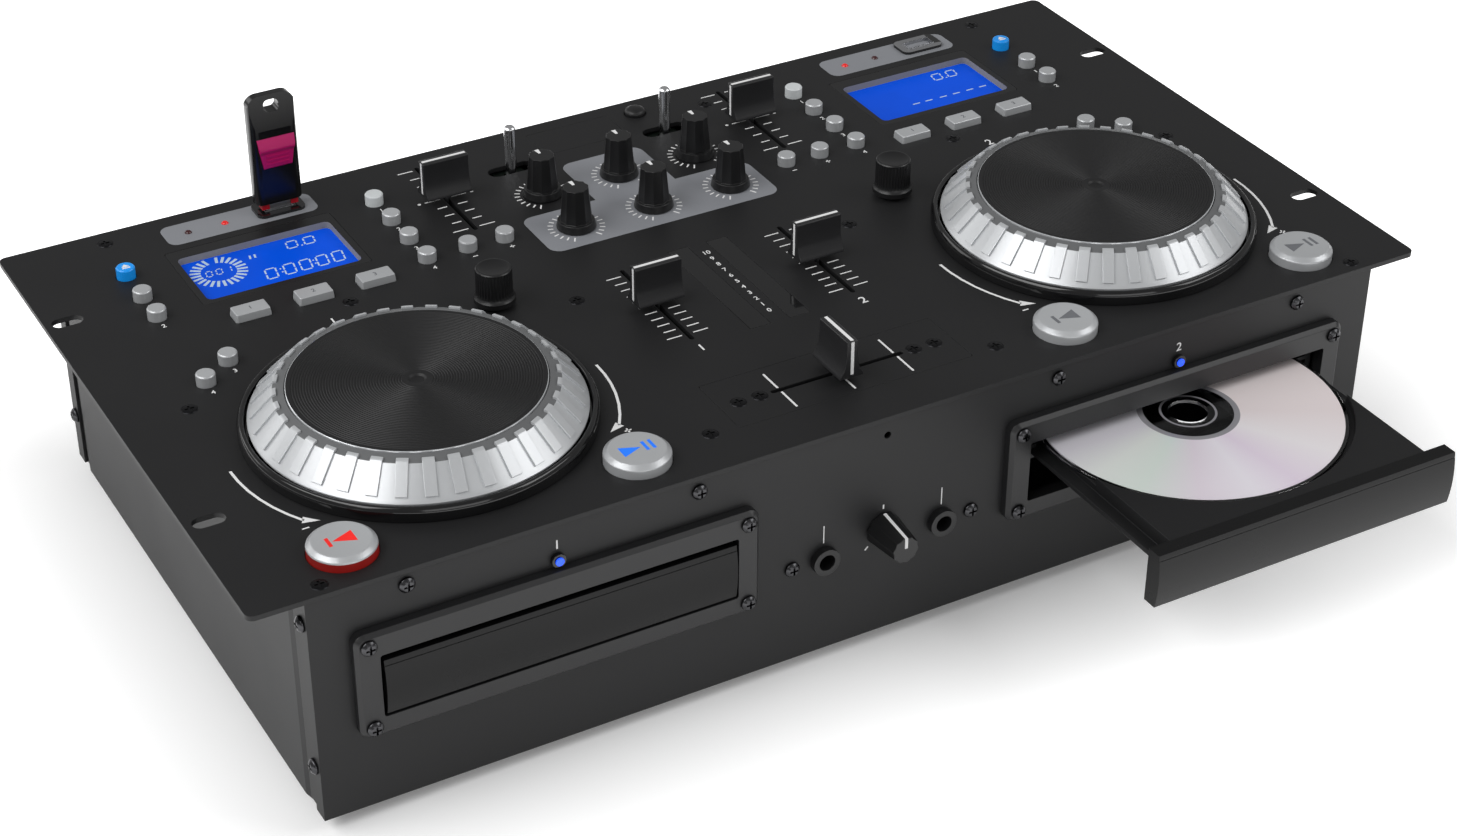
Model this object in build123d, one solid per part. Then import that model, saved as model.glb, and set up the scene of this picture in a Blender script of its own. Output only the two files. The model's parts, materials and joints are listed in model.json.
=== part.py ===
from build123d import *
import math
import os

# Sizes in millimetres. Along Y every position counts from the front edge of the
# top plate, along Z from its upper face, and along X from the middle.

# Top plate, a 19-inch rack panel
PLATE_W = 482.6
PLATE_D = 260.0
PLATE_T = 2.0
PLATE_R = 3.0
SLOT_X = PLATE_W / 2 - 8.75
SLOT_L = 12.0
SLOT_W = 6.5
SLOT_MID_Y = 130.0
SLOT_PITCH_Y = 146.05
GAP = 0.3

# Folded case below the plate
CASE_W = 442.5
CASE_FRONT = 1.5
CASE_REAR = 257.0
CASE_BOTTOM = -95.3
SHEET = 1.2
FLANGE_Y = 13.0
REAR_FLANGE_Y = 250.0
JOGGLE_FRONT_Y = 18.0
JOGGLE_REAR_Y = 243.5
JOGGLE_END_Y = 248.5
TAB_T = 1.2
RETURN_W = 12.0
FOOT_R = 12.0
FOOT_H = 6.0
FOOT_LIP = 1.5
FOOT_BORE_R = 3.5
FOOT_BORE_H = 3.0
FOOT_Y = (35.0, 225.0)
SPREAD = CASE_W / 442.5


def across(*places):
    """Sideways places, spread out or drawn in with the case's width."""
    return tuple(place * SPREAD for place in places)


def across_xy(*spots):
    return tuple((x * SPREAD, y) for x, y in spots)


FOOT_X = 185.0 * SPREAD
CORNER_TAB = (2.45, 8.3, 7.5)
FRONT_TAB_X = 60.0 * SPREAD
FRONT_TAB = (16.0, 24.5)
REAR_TABS_X = across(201.0, 58.5)
REAR_TABS = ((16.0, 12.0), (9.0, 21.0))
NOTCH_D = 4.5
NOTCH_H = 2.5
RETURN_Y = (36.0, 240.0)
HOLE_OVER = 0.3

# Disc drives
DRIVE_X = 130.0 * SPREAD
BEZEL_W = 154.0
BEZEL_H = 43.4
BEZEL_Z = -41.7
BEZEL_T = 4.5
BEZEL_R = 4.0
BEZEL_BEVEL = 1.5
MOUTH_W = 136.4
MOUTH_H = 25.8
MOUTH_Z = -42.6
MOUTH_R = 1.0
FASCIA_W = 134.4
FASCIA_TOP = -32.0
FASCIA_BOTTOM = -54.3
FASCIA_FRONT = -3.0
FASCIA_BACK = 3.0
FASCIA_BULGE = 1.2
TRAY_END = 160.0
DECK_HALF = 58.0
DECK_TOP = -32.3
DECK_BOTTOM = -40.0
RAIL_HALF = 63.2
RAIL_TOP = -38.0
DISC_Y = 69.6
DISC_R = 60.0
DISC_T = 1.2
DISC_HOLE_R = 7.5
RECESS_R = 62.0
RECESS_Z = -35.4
SMALL_RECESS_R = 41.0
SMALL_RECESS_Z = -37.0
PICKUP_SLOT_W = 34.0
PICKUP_SLOT_END = 148.0
SPINDLE_OPEN_R = 18.0
TRAY_B_OUT = 77.5
LOADER_FRONT = 4.0
LOADER_END = 170.0
LOADER_BOTTOM = -62.0
LOADER_TOP = -27.0
LOADER_IN = 66.0
LOADER_WALL = 2.5
LOADER_FLOOR = 2.0
LOADER_LEG = (10.0, 10.0)
LOADER_LEG_IN = 12.0
LEDGE_IN = 60.5
HOLD_RAIL_IN = 61.0
RAIL_T = 1.8
HOLD_T = 1.5
BRIDGE_D = 40.0
CLAMP_R = 14.0
CLAMP_Z = -31.4
SPINDLE_R = 13.0
SPINDLE_Z = -41.0
PICKUP_W = 28.0
PICKUP_Y = (93.6, 113.6)
PICKUP_Z = -44.0

# Jog wheels
JOG_X = 145.0 * SPREAD
JOG_Y = 79.5
JOG_BASE_R = 64.0
JOG_BASE_H = 5.6
RING_W = 2.8
SKIRT_FOOT_R = JOG_BASE_R - 3.8
SKIRT_TOP_R = 50.5
SKIRT_FOOT_Z = 4.4
SKIRT_TOP_Z = 15.5
SKIRT_WALL = 2.2
RIM_IN_R = 46.5
RIM_Z = 16.5
RIB_COUNT = 36
RIB_W = 4.3
RIB_H = 1.05
RIB_TOP_R = 50.2
TOP_R = 46.2
TOP_Z = 17.0
TOP_UNDER_Z = 14.3
JOG_SHAFT_R = 4.95
JOG_BUSH_R = 5.0
JOG_BOSS_R = 9.0
JOG_SHAFT_END = -6.0

# Round and rectangular push buttons
BIG_R = 12.1
BIG_RIM_Z = 3.4
BIG_TOP_R = 10.2
BIG_TOP_Z = 5.0
BIG_Y = 19.1
SMALL_R = 3.65
SMALL_H = 4.4
LOOP_W = 14.2
LOOP_D = 8.0
LOOP_H = 2.9
LOOP_Y = 175.0
FLANGE_OVER = 0.9
FLANGE_TOP = -2.4
FLANGE_T = 1.0
STEM_R = 1.8
STEM_END = -9.0
SWITCH_TOP = -10.3
DOME_XY = (30.3 * SPREAD, 248.9)
DOME_R = 4.4

# Deck 1 on the left, deck 2 on the right: play-side and cue-side key centres
CUE_X = across(-200.2, 89.7)
PLAY_X = across(-89.9, 200.2)
EJECT_XY = across_xy((-202.3, 223.7), (199.9, 226.6))
SOURCE_KEYS = (
    across_xy((-202.3, 205.2), (-202.3, 189.6)),
    across_xy((200.3, 206.9), (200.3, 191.3)),
)
JOG_KEYS = (
    across_xy((-190.4, 147.8), (-202.6, 138.0)),
    across_xy((189.2, 147.1), (201.3, 137.1)),
)
MODE_X = across(-96.5, 97.0)
MODE_Y = (230.9, 213.9, 197.0, 180.0)
BEND_X = (across(-79.2, -63.4), across(63.8, 79.6))
BEND_Y = 180.0
LOOP_X = (across(-170.9, -145.6, -120.3), across(121.4, 146.5, 171.8))
ENCODER_XY = across_xy((-88.0, 137.4), (88.0, 137.4))

# Faders: slot centre, half travel and half slot length
PITCH_X = across(-70.1, 70.2)
PITCH_Y = 220.7
PITCH_HALF = 29.0
CHANNEL_X = across(-35.0, 34.6)
CHANNEL_Y = 107.8
CHANNEL_HALF = 28.7
CROSS_Y = 34.0
CROSS_HALF = 28.0
SLOT_T = 2.0
CAP_L = 19.5
CAP_FOOT_Z = 3.0
CAP_TOP_Z = 18.5
CAP_FOOT_W = 10.0
CAP_RIDGE_W = 4.5
STEM_T = 1.2
FADER_STEM_END = -7.0
UNIT_W = 12.0
UNIT_TOP = -2.3
BOARD_TOP = -12.0
BOARD_T = 1.6
CROSS_PLATE_W = 98.0
CROSS_PLATE_D = 30.2
CROSS_PLATE_Y = 34.6
REAR_COVER_W = 37.4
REAR_COVER_D = 19.0
REAR_COVER_Y = 243.2

# Knobs and switches
KNOB_X = across(-34.7, -0.2, 34.8)
KNOB_Y = (175.0, 204.8)
KNOB_COLLAR_R = 8.0
KNOB_BASE_R = 6.6
KNOB_TOP_R = 5.3
KNOB_H = 17.8
KNOB_FLUTES = 10
SHAFT_R = 3.0
SHAFT_HOLE_R = 3.05
PANEL_HOLE_R = 3.6
ENC_COLLAR_R = 8.0
ENC_TOP_R = 7.0
ENC_H = 16.0
CUE_KNOB_X = 0.9 * SPREAD
CUE_KNOB_Z = -49.5
CUE_KNOB_L = 16.0
CUE_KNOB_R = 7.2
TOGGLE_XY = across_xy((-36.6, 230.0), (34.3, 230.0))
TOGGLE_SLOT_L = 20.0
TOGGLE_SLOT_W = 7.5
TOGGLE_R = 2.4
TOGGLE_TOP = 19.5
TOGGLE_PIVOT_Z = -6.0
BALL_R = 3.6
SOCKET_R = 3.68
BALL_HOLE_R = 3.2

# Displays, meters, lamps and sockets
SCREEN_XY = across_xy((-149.7, 210.85), (149.7, 210.85))
SCREEN_FRAME = (68.5, 43.3)
SCREEN_OPEN = (63.0, 34.7)
SCREEN_SHIFT_Y = -1.6
SCREEN_DEPTH = 3.0
METER_X = 8.5 * SPREAD
METER_W = 9.0
METER_Y0 = 75.0
METER_Y1 = 140.0
SOURCE_X = across(-148.2, 152.2)
SOURCE_LED_Y = 244.2
SOURCE_LED_DX = (-21.5, -6.3)
USB_DX = 16.7
USB_Y = 245.5
USB_BEZEL = (20.0, 12.0)
USB_SHELL = (13.1, 5.7)
USB_ROOM = (12.5, 5.1)
USB_TONGUE = (11.0, 1.8)
USB_FLOOR = -11.0
USB_MOUTH = 1.5
STICK_W = 19.6
STICK_T = 8.0
STICK_Z0 = 4.8
STICK_Z1 = 51.2
STICK_R = 3.2
STICK_END_R = 5.0
STICK_END_T = 3.4
STICK_TAPER_Z = 37.0
STICK_HOLE = (6.2, 5.0)
STICK_HOLE_Z = 46.6
SLIDER_Z = (20.5, 33.8)
SLIDER_W = (11.5, 15.6)
SLIDER_OUT = 1.7
STICK_PLUG = (12.0, 4.5)
PLUG_ROOM = (11.3, 2.1)
PLUG_END = -9.0
CARRIER = (15.2, 5.8)
CARRIER_GAP = 9.0
CARRIER_Z = 2.2
LED_X = 130.2 * SPREAD
LED_Z = -16.8
LED_RING_R = 2.7
LED_BODY_R = 2.3
LED_LENS_R = 1.6
LED_LENGTH = 6.5
JACK_DX = 25.0 * SPREAD
JACK_Z = -54.5
JACK_NUT_R = 5.5
JACK_BORE_R = 3.25
JACK_BODY_END = 28.0
JACK_BODY_HALF = 7.0
JACK_NECK_R = 4.5
JACK_NUT_L = 3.0
PINHOLE_XZ = (1.5, -9.0)
PINHOLE_R = 1.4
SCREW_HEAD_R = 3.0
SCREW_HEAD_H = 2.0
EDGE_SCREWS_X = across(-185.4, -75.2, 75.2, 185.4)
EDGE_SCREW_Z = -7.5
BEZEL_SCREW_DX = 72.1
BEZEL_SCREWS_Z = (-24.7, -58.8)
GROUP_SCREWS_X = across(-37.4, 39.2)
GROUP_SCREW_Z = -54.3
SIDE_SCREWS_Z = (-13.5, -74.0)
SIDE_SCREWS_Y = (6.0, 253.0)
RCA_X = across(-120.0, -100.0, -70.0, -50.0, -20.0, 0.0, 30.0, 50.0)
RCA_Z = -34.0
RCA_R = 4.1
RCA_L = 9.0
RCA_NECK_R = 3.0
RCA_NECK_L = 8.0
RCA_FLANGE_R = 6.0
RCA_FLANGE_L = 1.5
RCA_HOLE_R = 1.6
RCA_HOLE_L = 15.0
INLET_X = 165.0 * SPREAD
INLET_Z = -62.0
INLET_ROOM = (24.2, 16.4)
INLET_OUT = (31.0, 24.0)
INLET_DEPTH = 16.0
INLET_WALL = 1.4
INLET_FLANGE = 2.0
INLET_PINS = ((-7.0, -2.0), (0.0, 2.0), (7.0, -2.0))
INLET_PIN = (2.0, 4.0)
ROCKER_X = 125.0 * SPREAD
ROCKER_Z = -62.0
ROCKER_PIVOT_Y = 254.0
ROCKER_TILT = 8.0
ROCKER_FLANGE = (17.0, 24.0)
ROCKER_BODY = (13.8, 21.8)
ROCKER_ROOM = (12.4, 19.8)
ROCKER_DEPTH = 17.0
ROCKER_FLOOR = 9.0
ROCKER_KEY_W = 11.6
GROUND_XZ = (-165.0 * SPREAD, -34.0)
GROUND_R = 4.0
GROUND_POST_R = 2.0
GROUND_L = 8.0

# Inside
BOARD_IN = 16.25
BOARD_Y = (14.0, 253.0)
STANDOFFS = across_xy((-135.0, 165.0), (-60.0, 124.5), (60.0, 124.5), (135.0, 165.0))
STANDOFF_W = 5.0
SWITCH_W = 6.0
POT_W = 14.0
POT_D = 13.0
UNIT_OVER = 4.0
UNIT_ROOM = 2.4
LEVER_UNIT = (13.0, 10.0)
FRONT_POT_W = 16.0
FRONT_POT_D = 9.0
SUPPLY_X = 60.0 * SPREAD
SUPPLY_Y = 210.0
SUPPLY_W = 100.0
SUPPLY_D = 60.0
SUPPLY_LIFT = 8.0
SUPPLY_LEG_IN = 5.0
SUPPLY_LEG_W = 6.0
CORE_SIZE = (42.0, 36.0, 33.4)
CORE_DX = -19.0
CAP_R = 8.0
CAP_H = 24.4
CAP_DX = (16.0, 36.0)
CAP_DY = -10.0


# ------------------------------------------------------------- plain shapes
def block(x0, x1, y0, y1, z0, z1):
    centre = Pos((x0 + x1) / 2, (y0 + y1) / 2, (z0 + z1) / 2)
    return centre * Box(x1 - x0, y1 - y0, z1 - z0)


def post(x, y, z0, z1, r):
    return Pos(x, y, (z0 + z1) / 2) * Cylinder(r, z1 - z0)


def rod(x, z, y0, y1, r):
    """A cylinder along Y."""
    return Pos(x, (y0 + y1) / 2, z) * Rot(90, 0, 0) * Cylinder(r, y1 - y0)


def slab(x, y, w, d, r, z0, z1):
    return Pos(x, y, z0) * extrude(RectangleRounded(w, d, r), z1 - z0)


def oval(x, y, length, width, z0, z1, turn=0):
    return Pos(x, y, z0) * Rot(0, 0, turn) * extrude(SlotOverall(length, width), z1 - z0)


def turned(x, y, outline):
    """A body of revolution about the vertical at x, y from radius and height pairs."""
    face = make_face(Plane.XZ * Polyline(*outline, close=True))
    return Pos(x, y, 0) * revolve(face, Axis.Z)


def facing(x, z, y_back, face, depth):
    """A flat outline in the front's plane, grown from y_back towards the user."""
    return Pos(x, y_back, z) * Rot(90, 0, 0) * extrude(face, depth)


def save(name, *shapes):
    solids = [solid for shape in shapes for solid in shape.solids()]
    whole = solids[0] if len(solids) == 1 else Compound(solids)
    export_step(Pos(0, -PLATE_D / 2, 0) * whole, f"parts/{name}.step")


# ------------------------------------------------------------- key positions
def small_keys():
    """Every round key's centre, bank by bank."""
    banks = {}
    for deck, side in enumerate(("a", "b")):
        banks[f"eject_button_{side}"] = [EJECT_XY[deck]]
        banks[f"source_and_jog_keys_{side}"] = [*SOURCE_KEYS[deck], *JOG_KEYS[deck]]
        banks[f"mode_keys_{side}"] = [(MODE_X[deck], y) for y in MODE_Y]
        banks[f"pitch_bend_keys_{side}"] = [(x, BEND_Y) for x in BEND_X[deck]]
    return banks


def fader_places():
    """Name, centre, slot half-length and turn of each fader."""
    return (
        ("pitch_fader_a", PITCH_X[0], PITCH_Y, PITCH_HALF, 90),
        ("pitch_fader_b", PITCH_X[1], PITCH_Y, PITCH_HALF, 90),
        ("channel_fader_1", CHANNEL_X[0], CHANNEL_Y, CHANNEL_HALF, 90),
        ("channel_fader_2", CHANNEL_X[1], CHANNEL_Y, CHANNEL_HALF, 90),
        ("crossfader", 0.0, CROSS_Y, CROSS_HALF, 0),
    )


def knob_places():
    return [(x, y) for y in KNOB_Y for x in KNOB_X]


# ------------------------------------------------------------- top plate
def top_plate():
    lo, hi = -PLATE_T - 1, 1
    cuts = []
    for x in (-SLOT_X, SLOT_X):
        for dy in (-SLOT_PITCH_Y / 2, SLOT_PITCH_Y / 2):
            cuts.append(oval(x, SLOT_MID_Y + dy, SLOT_L, SLOT_W, lo, hi))
    for x in (-JOG_X, JOG_X):
        cuts.append(post(x, JOG_Y, lo, hi, JOG_BOSS_R + GAP))
    for x, y in SCREEN_XY:
        w, d = SCREEN_FRAME
        cuts.append(slab(x, y, w + GAP, d + GAP, 1.5, lo, hi))
    for x in (-METER_X, METER_X):
        cuts.append(block(x - METER_W / 2, x + METER_W / 2, METER_Y0, METER_Y1, lo, hi))
    for name, x, y, half, turn in fader_places()[:4]:
        cuts.append(oval(x, y, 2 * half, SLOT_T, lo, hi, turn))
    cuts.append(slab(0, CROSS_PLATE_Y, CROSS_PLATE_W + GAP, CROSS_PLATE_D + GAP, 1, lo, hi))
    cuts.append(slab(0, REAR_COVER_Y, REAR_COVER_W + GAP, REAR_COVER_D + GAP, 1, lo, hi))
    for x, y in knob_places() + list(ENCODER_XY):
        cuts.append(post(x, y, lo, hi, PANEL_HOLE_R))
    for x, y in TOGGLE_XY:
        cuts.append(oval(x, y, TOGGLE_SLOT_L, TOGGLE_SLOT_W, lo, hi))
    cuts.append(post(*DOME_XY, lo, hi, DOME_R + GAP))
    for x in CUE_X + PLAY_X:
        cuts.append(post(x, BIG_Y, lo, hi, BIG_R + GAP))
    for keys in small_keys().values():
        for x, y in keys:
            cuts.append(post(x, y, lo, hi, SMALL_R + GAP))
    for deck in LOOP_X:
        for x in deck:
            cuts.append(slab(x, LOOP_Y, LOOP_W + 2 * GAP, LOOP_D + 2 * GAP, 1.3, lo, hi))
    for x in SOURCE_X:
        w, d = USB_SHELL
        cuts.append(slab(x + USB_DX, USB_Y, w + 1, d + 1, 0.5, lo, hi))
        for dx in SOURCE_LED_DX:
            cuts.append(post(x + dx, SOURCE_LED_Y, lo, hi, 1.6))
    plate = slab(0, PLATE_D / 2, PLATE_W, PLATE_D, PLATE_R, -PLATE_T, 0)
    return plate - cuts


def inset_plates():
    """The screwed-in crossfader plate and the blanking cover near the rear edge."""
    cross = slab(0, CROSS_PLATE_Y, CROSS_PLATE_W, CROSS_PLATE_D, 1, -PLATE_T, 0)
    cross -= oval(0, CROSS_Y, 2 * CROSS_HALF, SLOT_T, -PLATE_T - 1, 1)
    cover = slab(0, REAR_COVER_Y, REAR_COVER_W, REAR_COVER_D, 1, -PLATE_T, 0)
    return cross, cover


# ------------------------------------------------------------- folded case
def front_panel():
    half = CASE_W / 2
    back = CASE_FRONT + SHEET
    top = -PLATE_T
    panel = block(-half, half, CASE_FRONT, back, CASE_BOTTOM, top)
    for side in (-1, 1):
        x0, x1 = sorted((side * half, side * (half - SHEET)))
        panel += block(x0, x1, CASE_FRONT, FLANGE_Y, CASE_BOTTOM, top)
        y0, z1 = FLANGE_Y - NOTCH_D, CASE_BOTTOM + NOTCH_H
        panel -= block(x0 - 1, x1 + 1, y0, FLANGE_Y + 1, CASE_BOTTOM - 1, z1)
        tab_in, tab_w, tab_d = CORNER_TAB
        x0, x1 = sorted((side * (half - tab_in), side * (half - tab_in - tab_w)))
        panel += block(x0, x1, CASE_FRONT, CASE_FRONT + tab_d, top - TAB_T, top)
        w, d = FRONT_TAB
        x = side * FRONT_TAB_X
        panel += block(x - w / 2, x + w / 2, CASE_FRONT, CASE_FRONT + d, top - TAB_T, top)
        mouth = RectangleRounded(MOUTH_W + 2 * GAP, MOUTH_H + 2 * GAP, MOUTH_R)
        panel -= facing(side * DRIVE_X, MOUTH_Z, back + 1, mouth, SHEET + 2)
        panel -= rod(side * LED_X, LED_Z, CASE_FRONT - 1, back + 1, LED_BODY_R + HOLE_OVER)
        x = CUE_KNOB_X + side * JACK_DX
        panel -= rod(x, JACK_Z, CASE_FRONT - 1, back + 1, JACK_NECK_R + HOLE_OVER)
    panel -= rod(CUE_KNOB_X, CUE_KNOB_Z, CASE_FRONT - 1, back + 1, PANEL_HOLE_R)
    panel -= rod(*PINHOLE_XZ, CASE_FRONT - 1, back + 1, PINHOLE_R)
    return panel


def chassis():
    """Floor and side walls from one folded sheet, each wall stepped in at its ends."""
    half = CASE_W / 2
    lap = half - SHEET
    front = CASE_FRONT + SHEET
    rear = CASE_REAR - SHEET
    floor = block(-lap + SHEET, lap - SHEET, front, rear, CASE_BOTTOM, CASE_BOTTOM + SHEET)
    tub = floor
    for side in (-1, 1):
        outer = [
            (lap, front),
            (lap, FLANGE_Y),
            (half, JOGGLE_FRONT_Y),
            (half, JOGGLE_REAR_Y),
            (lap, JOGGLE_END_Y),
            (lap, rear),
        ]
        inner = [(x - SHEET, y) for x, y in reversed(outer)]
        ring = [(side * x, y) for x, y in outer + inner]
        wall = extrude(make_face(Polyline(*ring, close=True)), -PLATE_T - CASE_BOTTOM)
        tub += Pos(0, 0, CASE_BOTTOM) * wall
        x0, x1 = sorted((side * (half - RETURN_W), side * (half - SHEET / 2)))
        tub += block(x0, x1, *RETURN_Y, -PLATE_T - TAB_T, -PLATE_T)
        x0, x1 = sorted((side * (half - 4), side * (half - SHEET / 2)))
        tub += block(x0, x1, JOGGLE_FRONT_Y + 1, JOGGLE_REAR_Y - 1, CASE_BOTTOM, CASE_BOTTOM + SHEET)
    return tub


def rear_panel():
    half = CASE_W / 2
    front = CASE_REAR - SHEET
    top = -PLATE_T
    panel = block(-half, half, front, CASE_REAR, CASE_BOTTOM, top)
    for side in (-1, 1):
        x0, x1 = sorted((side * half, side * (half - SHEET)))
        panel += block(x0, x1, REAR_FLANGE_Y, CASE_REAR, CASE_BOTTOM, top)
        for x, (w, d) in zip(REAR_TABS_X, REAR_TABS):
            x *= side
            panel += block(x - w / 2, x + w / 2, CASE_REAR - d, CASE_REAR, top - TAB_T, top)
    for x in RCA_X:
        panel -= rod(x, RCA_Z, front - 1, CASE_REAR + 1, RCA_NECK_R + HOLE_OVER)
    w, h = (size + 2 * INLET_WALL + HOLE_OVER for size in INLET_ROOM)
    panel -= facing(INLET_X, INLET_Z, CASE_REAR + 1, Rectangle(w, h), SHEET + 2)
    w, h = (size + HOLE_OVER for size in ROCKER_BODY)
    panel -= facing(ROCKER_X, ROCKER_Z, CASE_REAR + 1, Rectangle(w, h), SHEET + 2)
    panel -= rod(*GROUND_XZ, front - 1, CASE_REAR + 1, GROUND_POST_R + HOLE_OVER)
    return panel


def feet():
    solids = []
    for x in (-FOOT_X, FOOT_X):
        for y in FOOT_Y:
            z0 = CASE_BOTTOM - FOOT_H
            z1 = z0 + FOOT_BORE_H
            pad = [(FOOT_R, CASE_BOTTOM), (FOOT_R - FOOT_LIP, z0), (FOOT_BORE_R, z0), (FOOT_BORE_R, z1)]
            solids.append(turned(x, y, [(0, CASE_BOTTOM), *pad, (0, z1)]))
    return solids


def pan_screw(x, z, y_seat):
    """A pan head seated on a face that looks at the user."""
    r, h = SCREW_HEAD_R, SCREW_HEAD_H
    head = turned(0, 0, [(0, 0), (r, 0), (r, h * 0.45), (r * 0.6, h), (0, h)])
    return Pos(x, y_seat, z) * Rot(90, 0, 0) * head


def side_screw(side, y, z):
    r, h = SCREW_HEAD_R, SCREW_HEAD_H
    head = turned(0, 0, [(0, 0), (r, 0), (r, h * 0.45), (r * 0.6, h), (0, h)])
    return Pos(side * CASE_W / 2, y, z) * Rot(0, side * 90, 0) * head


def screws():
    solids = []
    for x in EDGE_SCREWS_X:
        solids.append(pan_screw(x, EDGE_SCREW_Z, CASE_FRONT))
    for x in GROUP_SCREWS_X:
        solids.append(pan_screw(x, GROUP_SCREW_Z, CASE_FRONT))
    for drive in (-DRIVE_X, DRIVE_X):
        for dx in (-BEZEL_SCREW_DX, BEZEL_SCREW_DX):
            for z in BEZEL_SCREWS_Z:
                solids.append(pan_screw(drive + dx, z, CASE_FRONT - BEZEL_T))
    for side in (-1, 1):
        for y in SIDE_SCREWS_Y:
            for z in SIDE_SCREWS_Z:
                solids.append(side_screw(side, y, z))
    return solids


# ------------------------------------------------------------- disc drives
def drive_bezels():
    frames = []
    for x in (-DRIVE_X, DRIVE_X):
        outline = RectangleRounded(BEZEL_W, BEZEL_H, BEZEL_R)
        flat = BEZEL_T - BEZEL_BEVEL
        frame = facing(x, BEZEL_Z, CASE_FRONT, outline, flat)
        bevel = extrude(outline, BEZEL_BEVEL, taper=45)
        frame += Pos(x, CASE_FRONT - flat, BEZEL_Z) * Rot(90, 0, 0) * bevel
        mouth = RectangleRounded(MOUTH_W, MOUTH_H, MOUTH_R)
        frame -= facing(x, MOUTH_Z, CASE_FRONT + 1, mouth, BEZEL_T + 2)
        frames.append(frame)
    return frames


def loader_frame(x):
    """Drive carrier: side walls with tray rails, clamp bridge, spindle and pickup."""
    out = LOADER_IN + LOADER_WALL
    front, end = LOADER_FRONT, LOADER_END
    frame = block(x - out, x + out, front, end, LOADER_BOTTOM, LOADER_BOTTOM + LOADER_FLOOR)
    ledge_top = DECK_BOTTOM - GAP
    rail_low = RAIL_TOP + GAP
    for side in (-1, 1):
        x0, x1 = sorted((x + side * LOADER_IN, x + side * out))
        frame += block(x0, x1, front, end, LOADER_BOTTOM, LOADER_TOP)
        x0, x1 = sorted((x + side * LEDGE_IN, x + side * out))
        frame += block(x0, x1, front, end, ledge_top - RAIL_T, ledge_top)
        x0, x1 = sorted((x + side * HOLD_RAIL_IN, x + side * out))
        frame += block(x0, x1, front, end, rail_low, rail_low + HOLD_T)
    frame += block(x - out, x + out, end - LOADER_FLOOR, end, LOADER_BOTTOM, LOADER_TOP)
    y0, y1 = DISC_Y - BRIDGE_D / 2, DISC_Y + BRIDGE_D / 2
    frame += block(x - out, x + out, y0, y1, LOADER_TOP, LOADER_TOP + LOADER_FLOOR)
    frame += post(x, DISC_Y, CLAMP_Z, LOADER_TOP, CLAMP_R)
    frame += post(x, DISC_Y, LOADER_BOTTOM, SPINDLE_Z, SPINDLE_R)
    frame += block(x - PICKUP_W / 2, x + PICKUP_W / 2, *PICKUP_Y, LOADER_BOTTOM, PICKUP_Z)
    w, d = LOADER_LEG
    for y in (front + LOADER_LEG_IN, end - LOADER_LEG_IN):
        for side in (-1, 1):
            x0, x1 = sorted((x + side * (out - w), x + side * out))
            frame += block(x0, x1, y - d / 2, y + d / 2, CASE_BOTTOM + SHEET, LOADER_BOTTOM)
    return frame


def tray(x, out):
    """Sliding tray: a central deck with two lower rails and a stepped disc well."""
    front, end = FASCIA_BACK, TRAY_END
    body = block(-DECK_HALF, DECK_HALF, front, end, DECK_BOTTOM, DECK_TOP)
    body += block(-RAIL_HALF, RAIL_HALF, front, end, DECK_BOTTOM, RAIL_TOP)
    body -= post(0, DISC_Y, RECESS_Z, DECK_TOP + 1, RECESS_R)
    body -= post(0, DISC_Y, SMALL_RECESS_Z, DECK_TOP + 1, SMALL_RECESS_R)
    body -= post(0, DISC_Y, DECK_BOTTOM - 1, DECK_TOP, SPINDLE_OPEN_R)
    half = PICKUP_SLOT_W / 2
    body -= block(-half, half, DISC_Y, PICKUP_SLOT_END, DECK_BOTTOM - 1, DECK_TOP + 1)
    return Pos(x, -out, 0) * body


def fascia(x, out):
    """Drawer front with a gently bowed face, clipped to the tray's front edge."""
    f, b, lo, hi = FASCIA_FRONT, FASCIA_BACK, FASCIA_BOTTOM, FASCIA_TOP
    bow = ThreePointArc((f, lo), (f - FASCIA_BULGE, (lo + hi) / 2), (f, hi))
    sides = Polyline((f, hi), (b, hi), (b, lo), (f, lo))
    face = make_face(Plane.YZ * (bow + sides))
    body = extrude(face, FASCIA_W / 2, both=True)
    body -= block(-FASCIA_W, FASCIA_W, f - 2, f - 0.25, hi - 2.3, hi - 1.8)
    return Pos(x, -out, 0) * body


def disc(x, out):
    face = Circle(DISC_R) - Circle(DISC_HOLE_R)
    return Pos(x, DISC_Y - out, RECESS_Z) * extrude(face, DISC_T)


# ------------------------------------------------------------- jog wheels
def jog_base(x):
    outline = [
        (JOG_BUSH_R, -4),
        (JOG_BOSS_R, -4),
        (JOG_BOSS_R, 0),
        (JOG_BASE_R, 0),
        (JOG_BASE_R, 3.5),
        (JOG_BASE_R - 0.4, 4.6),
        (JOG_BASE_R - 1.2, JOG_BASE_H),
        (JOG_BASE_R - 2.2, JOG_BASE_H),
        (JOG_BASE_R - RING_W, JOG_BASE_H - 0.6),
        (JOG_BASE_R - RING_W, 1.6),
        (JOG_BOSS_R, 1.6),
        (JOG_BOSS_R, 4),
        (JOG_BUSH_R, 4),
    ]
    return turned(x, JOG_Y, outline)


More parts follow.
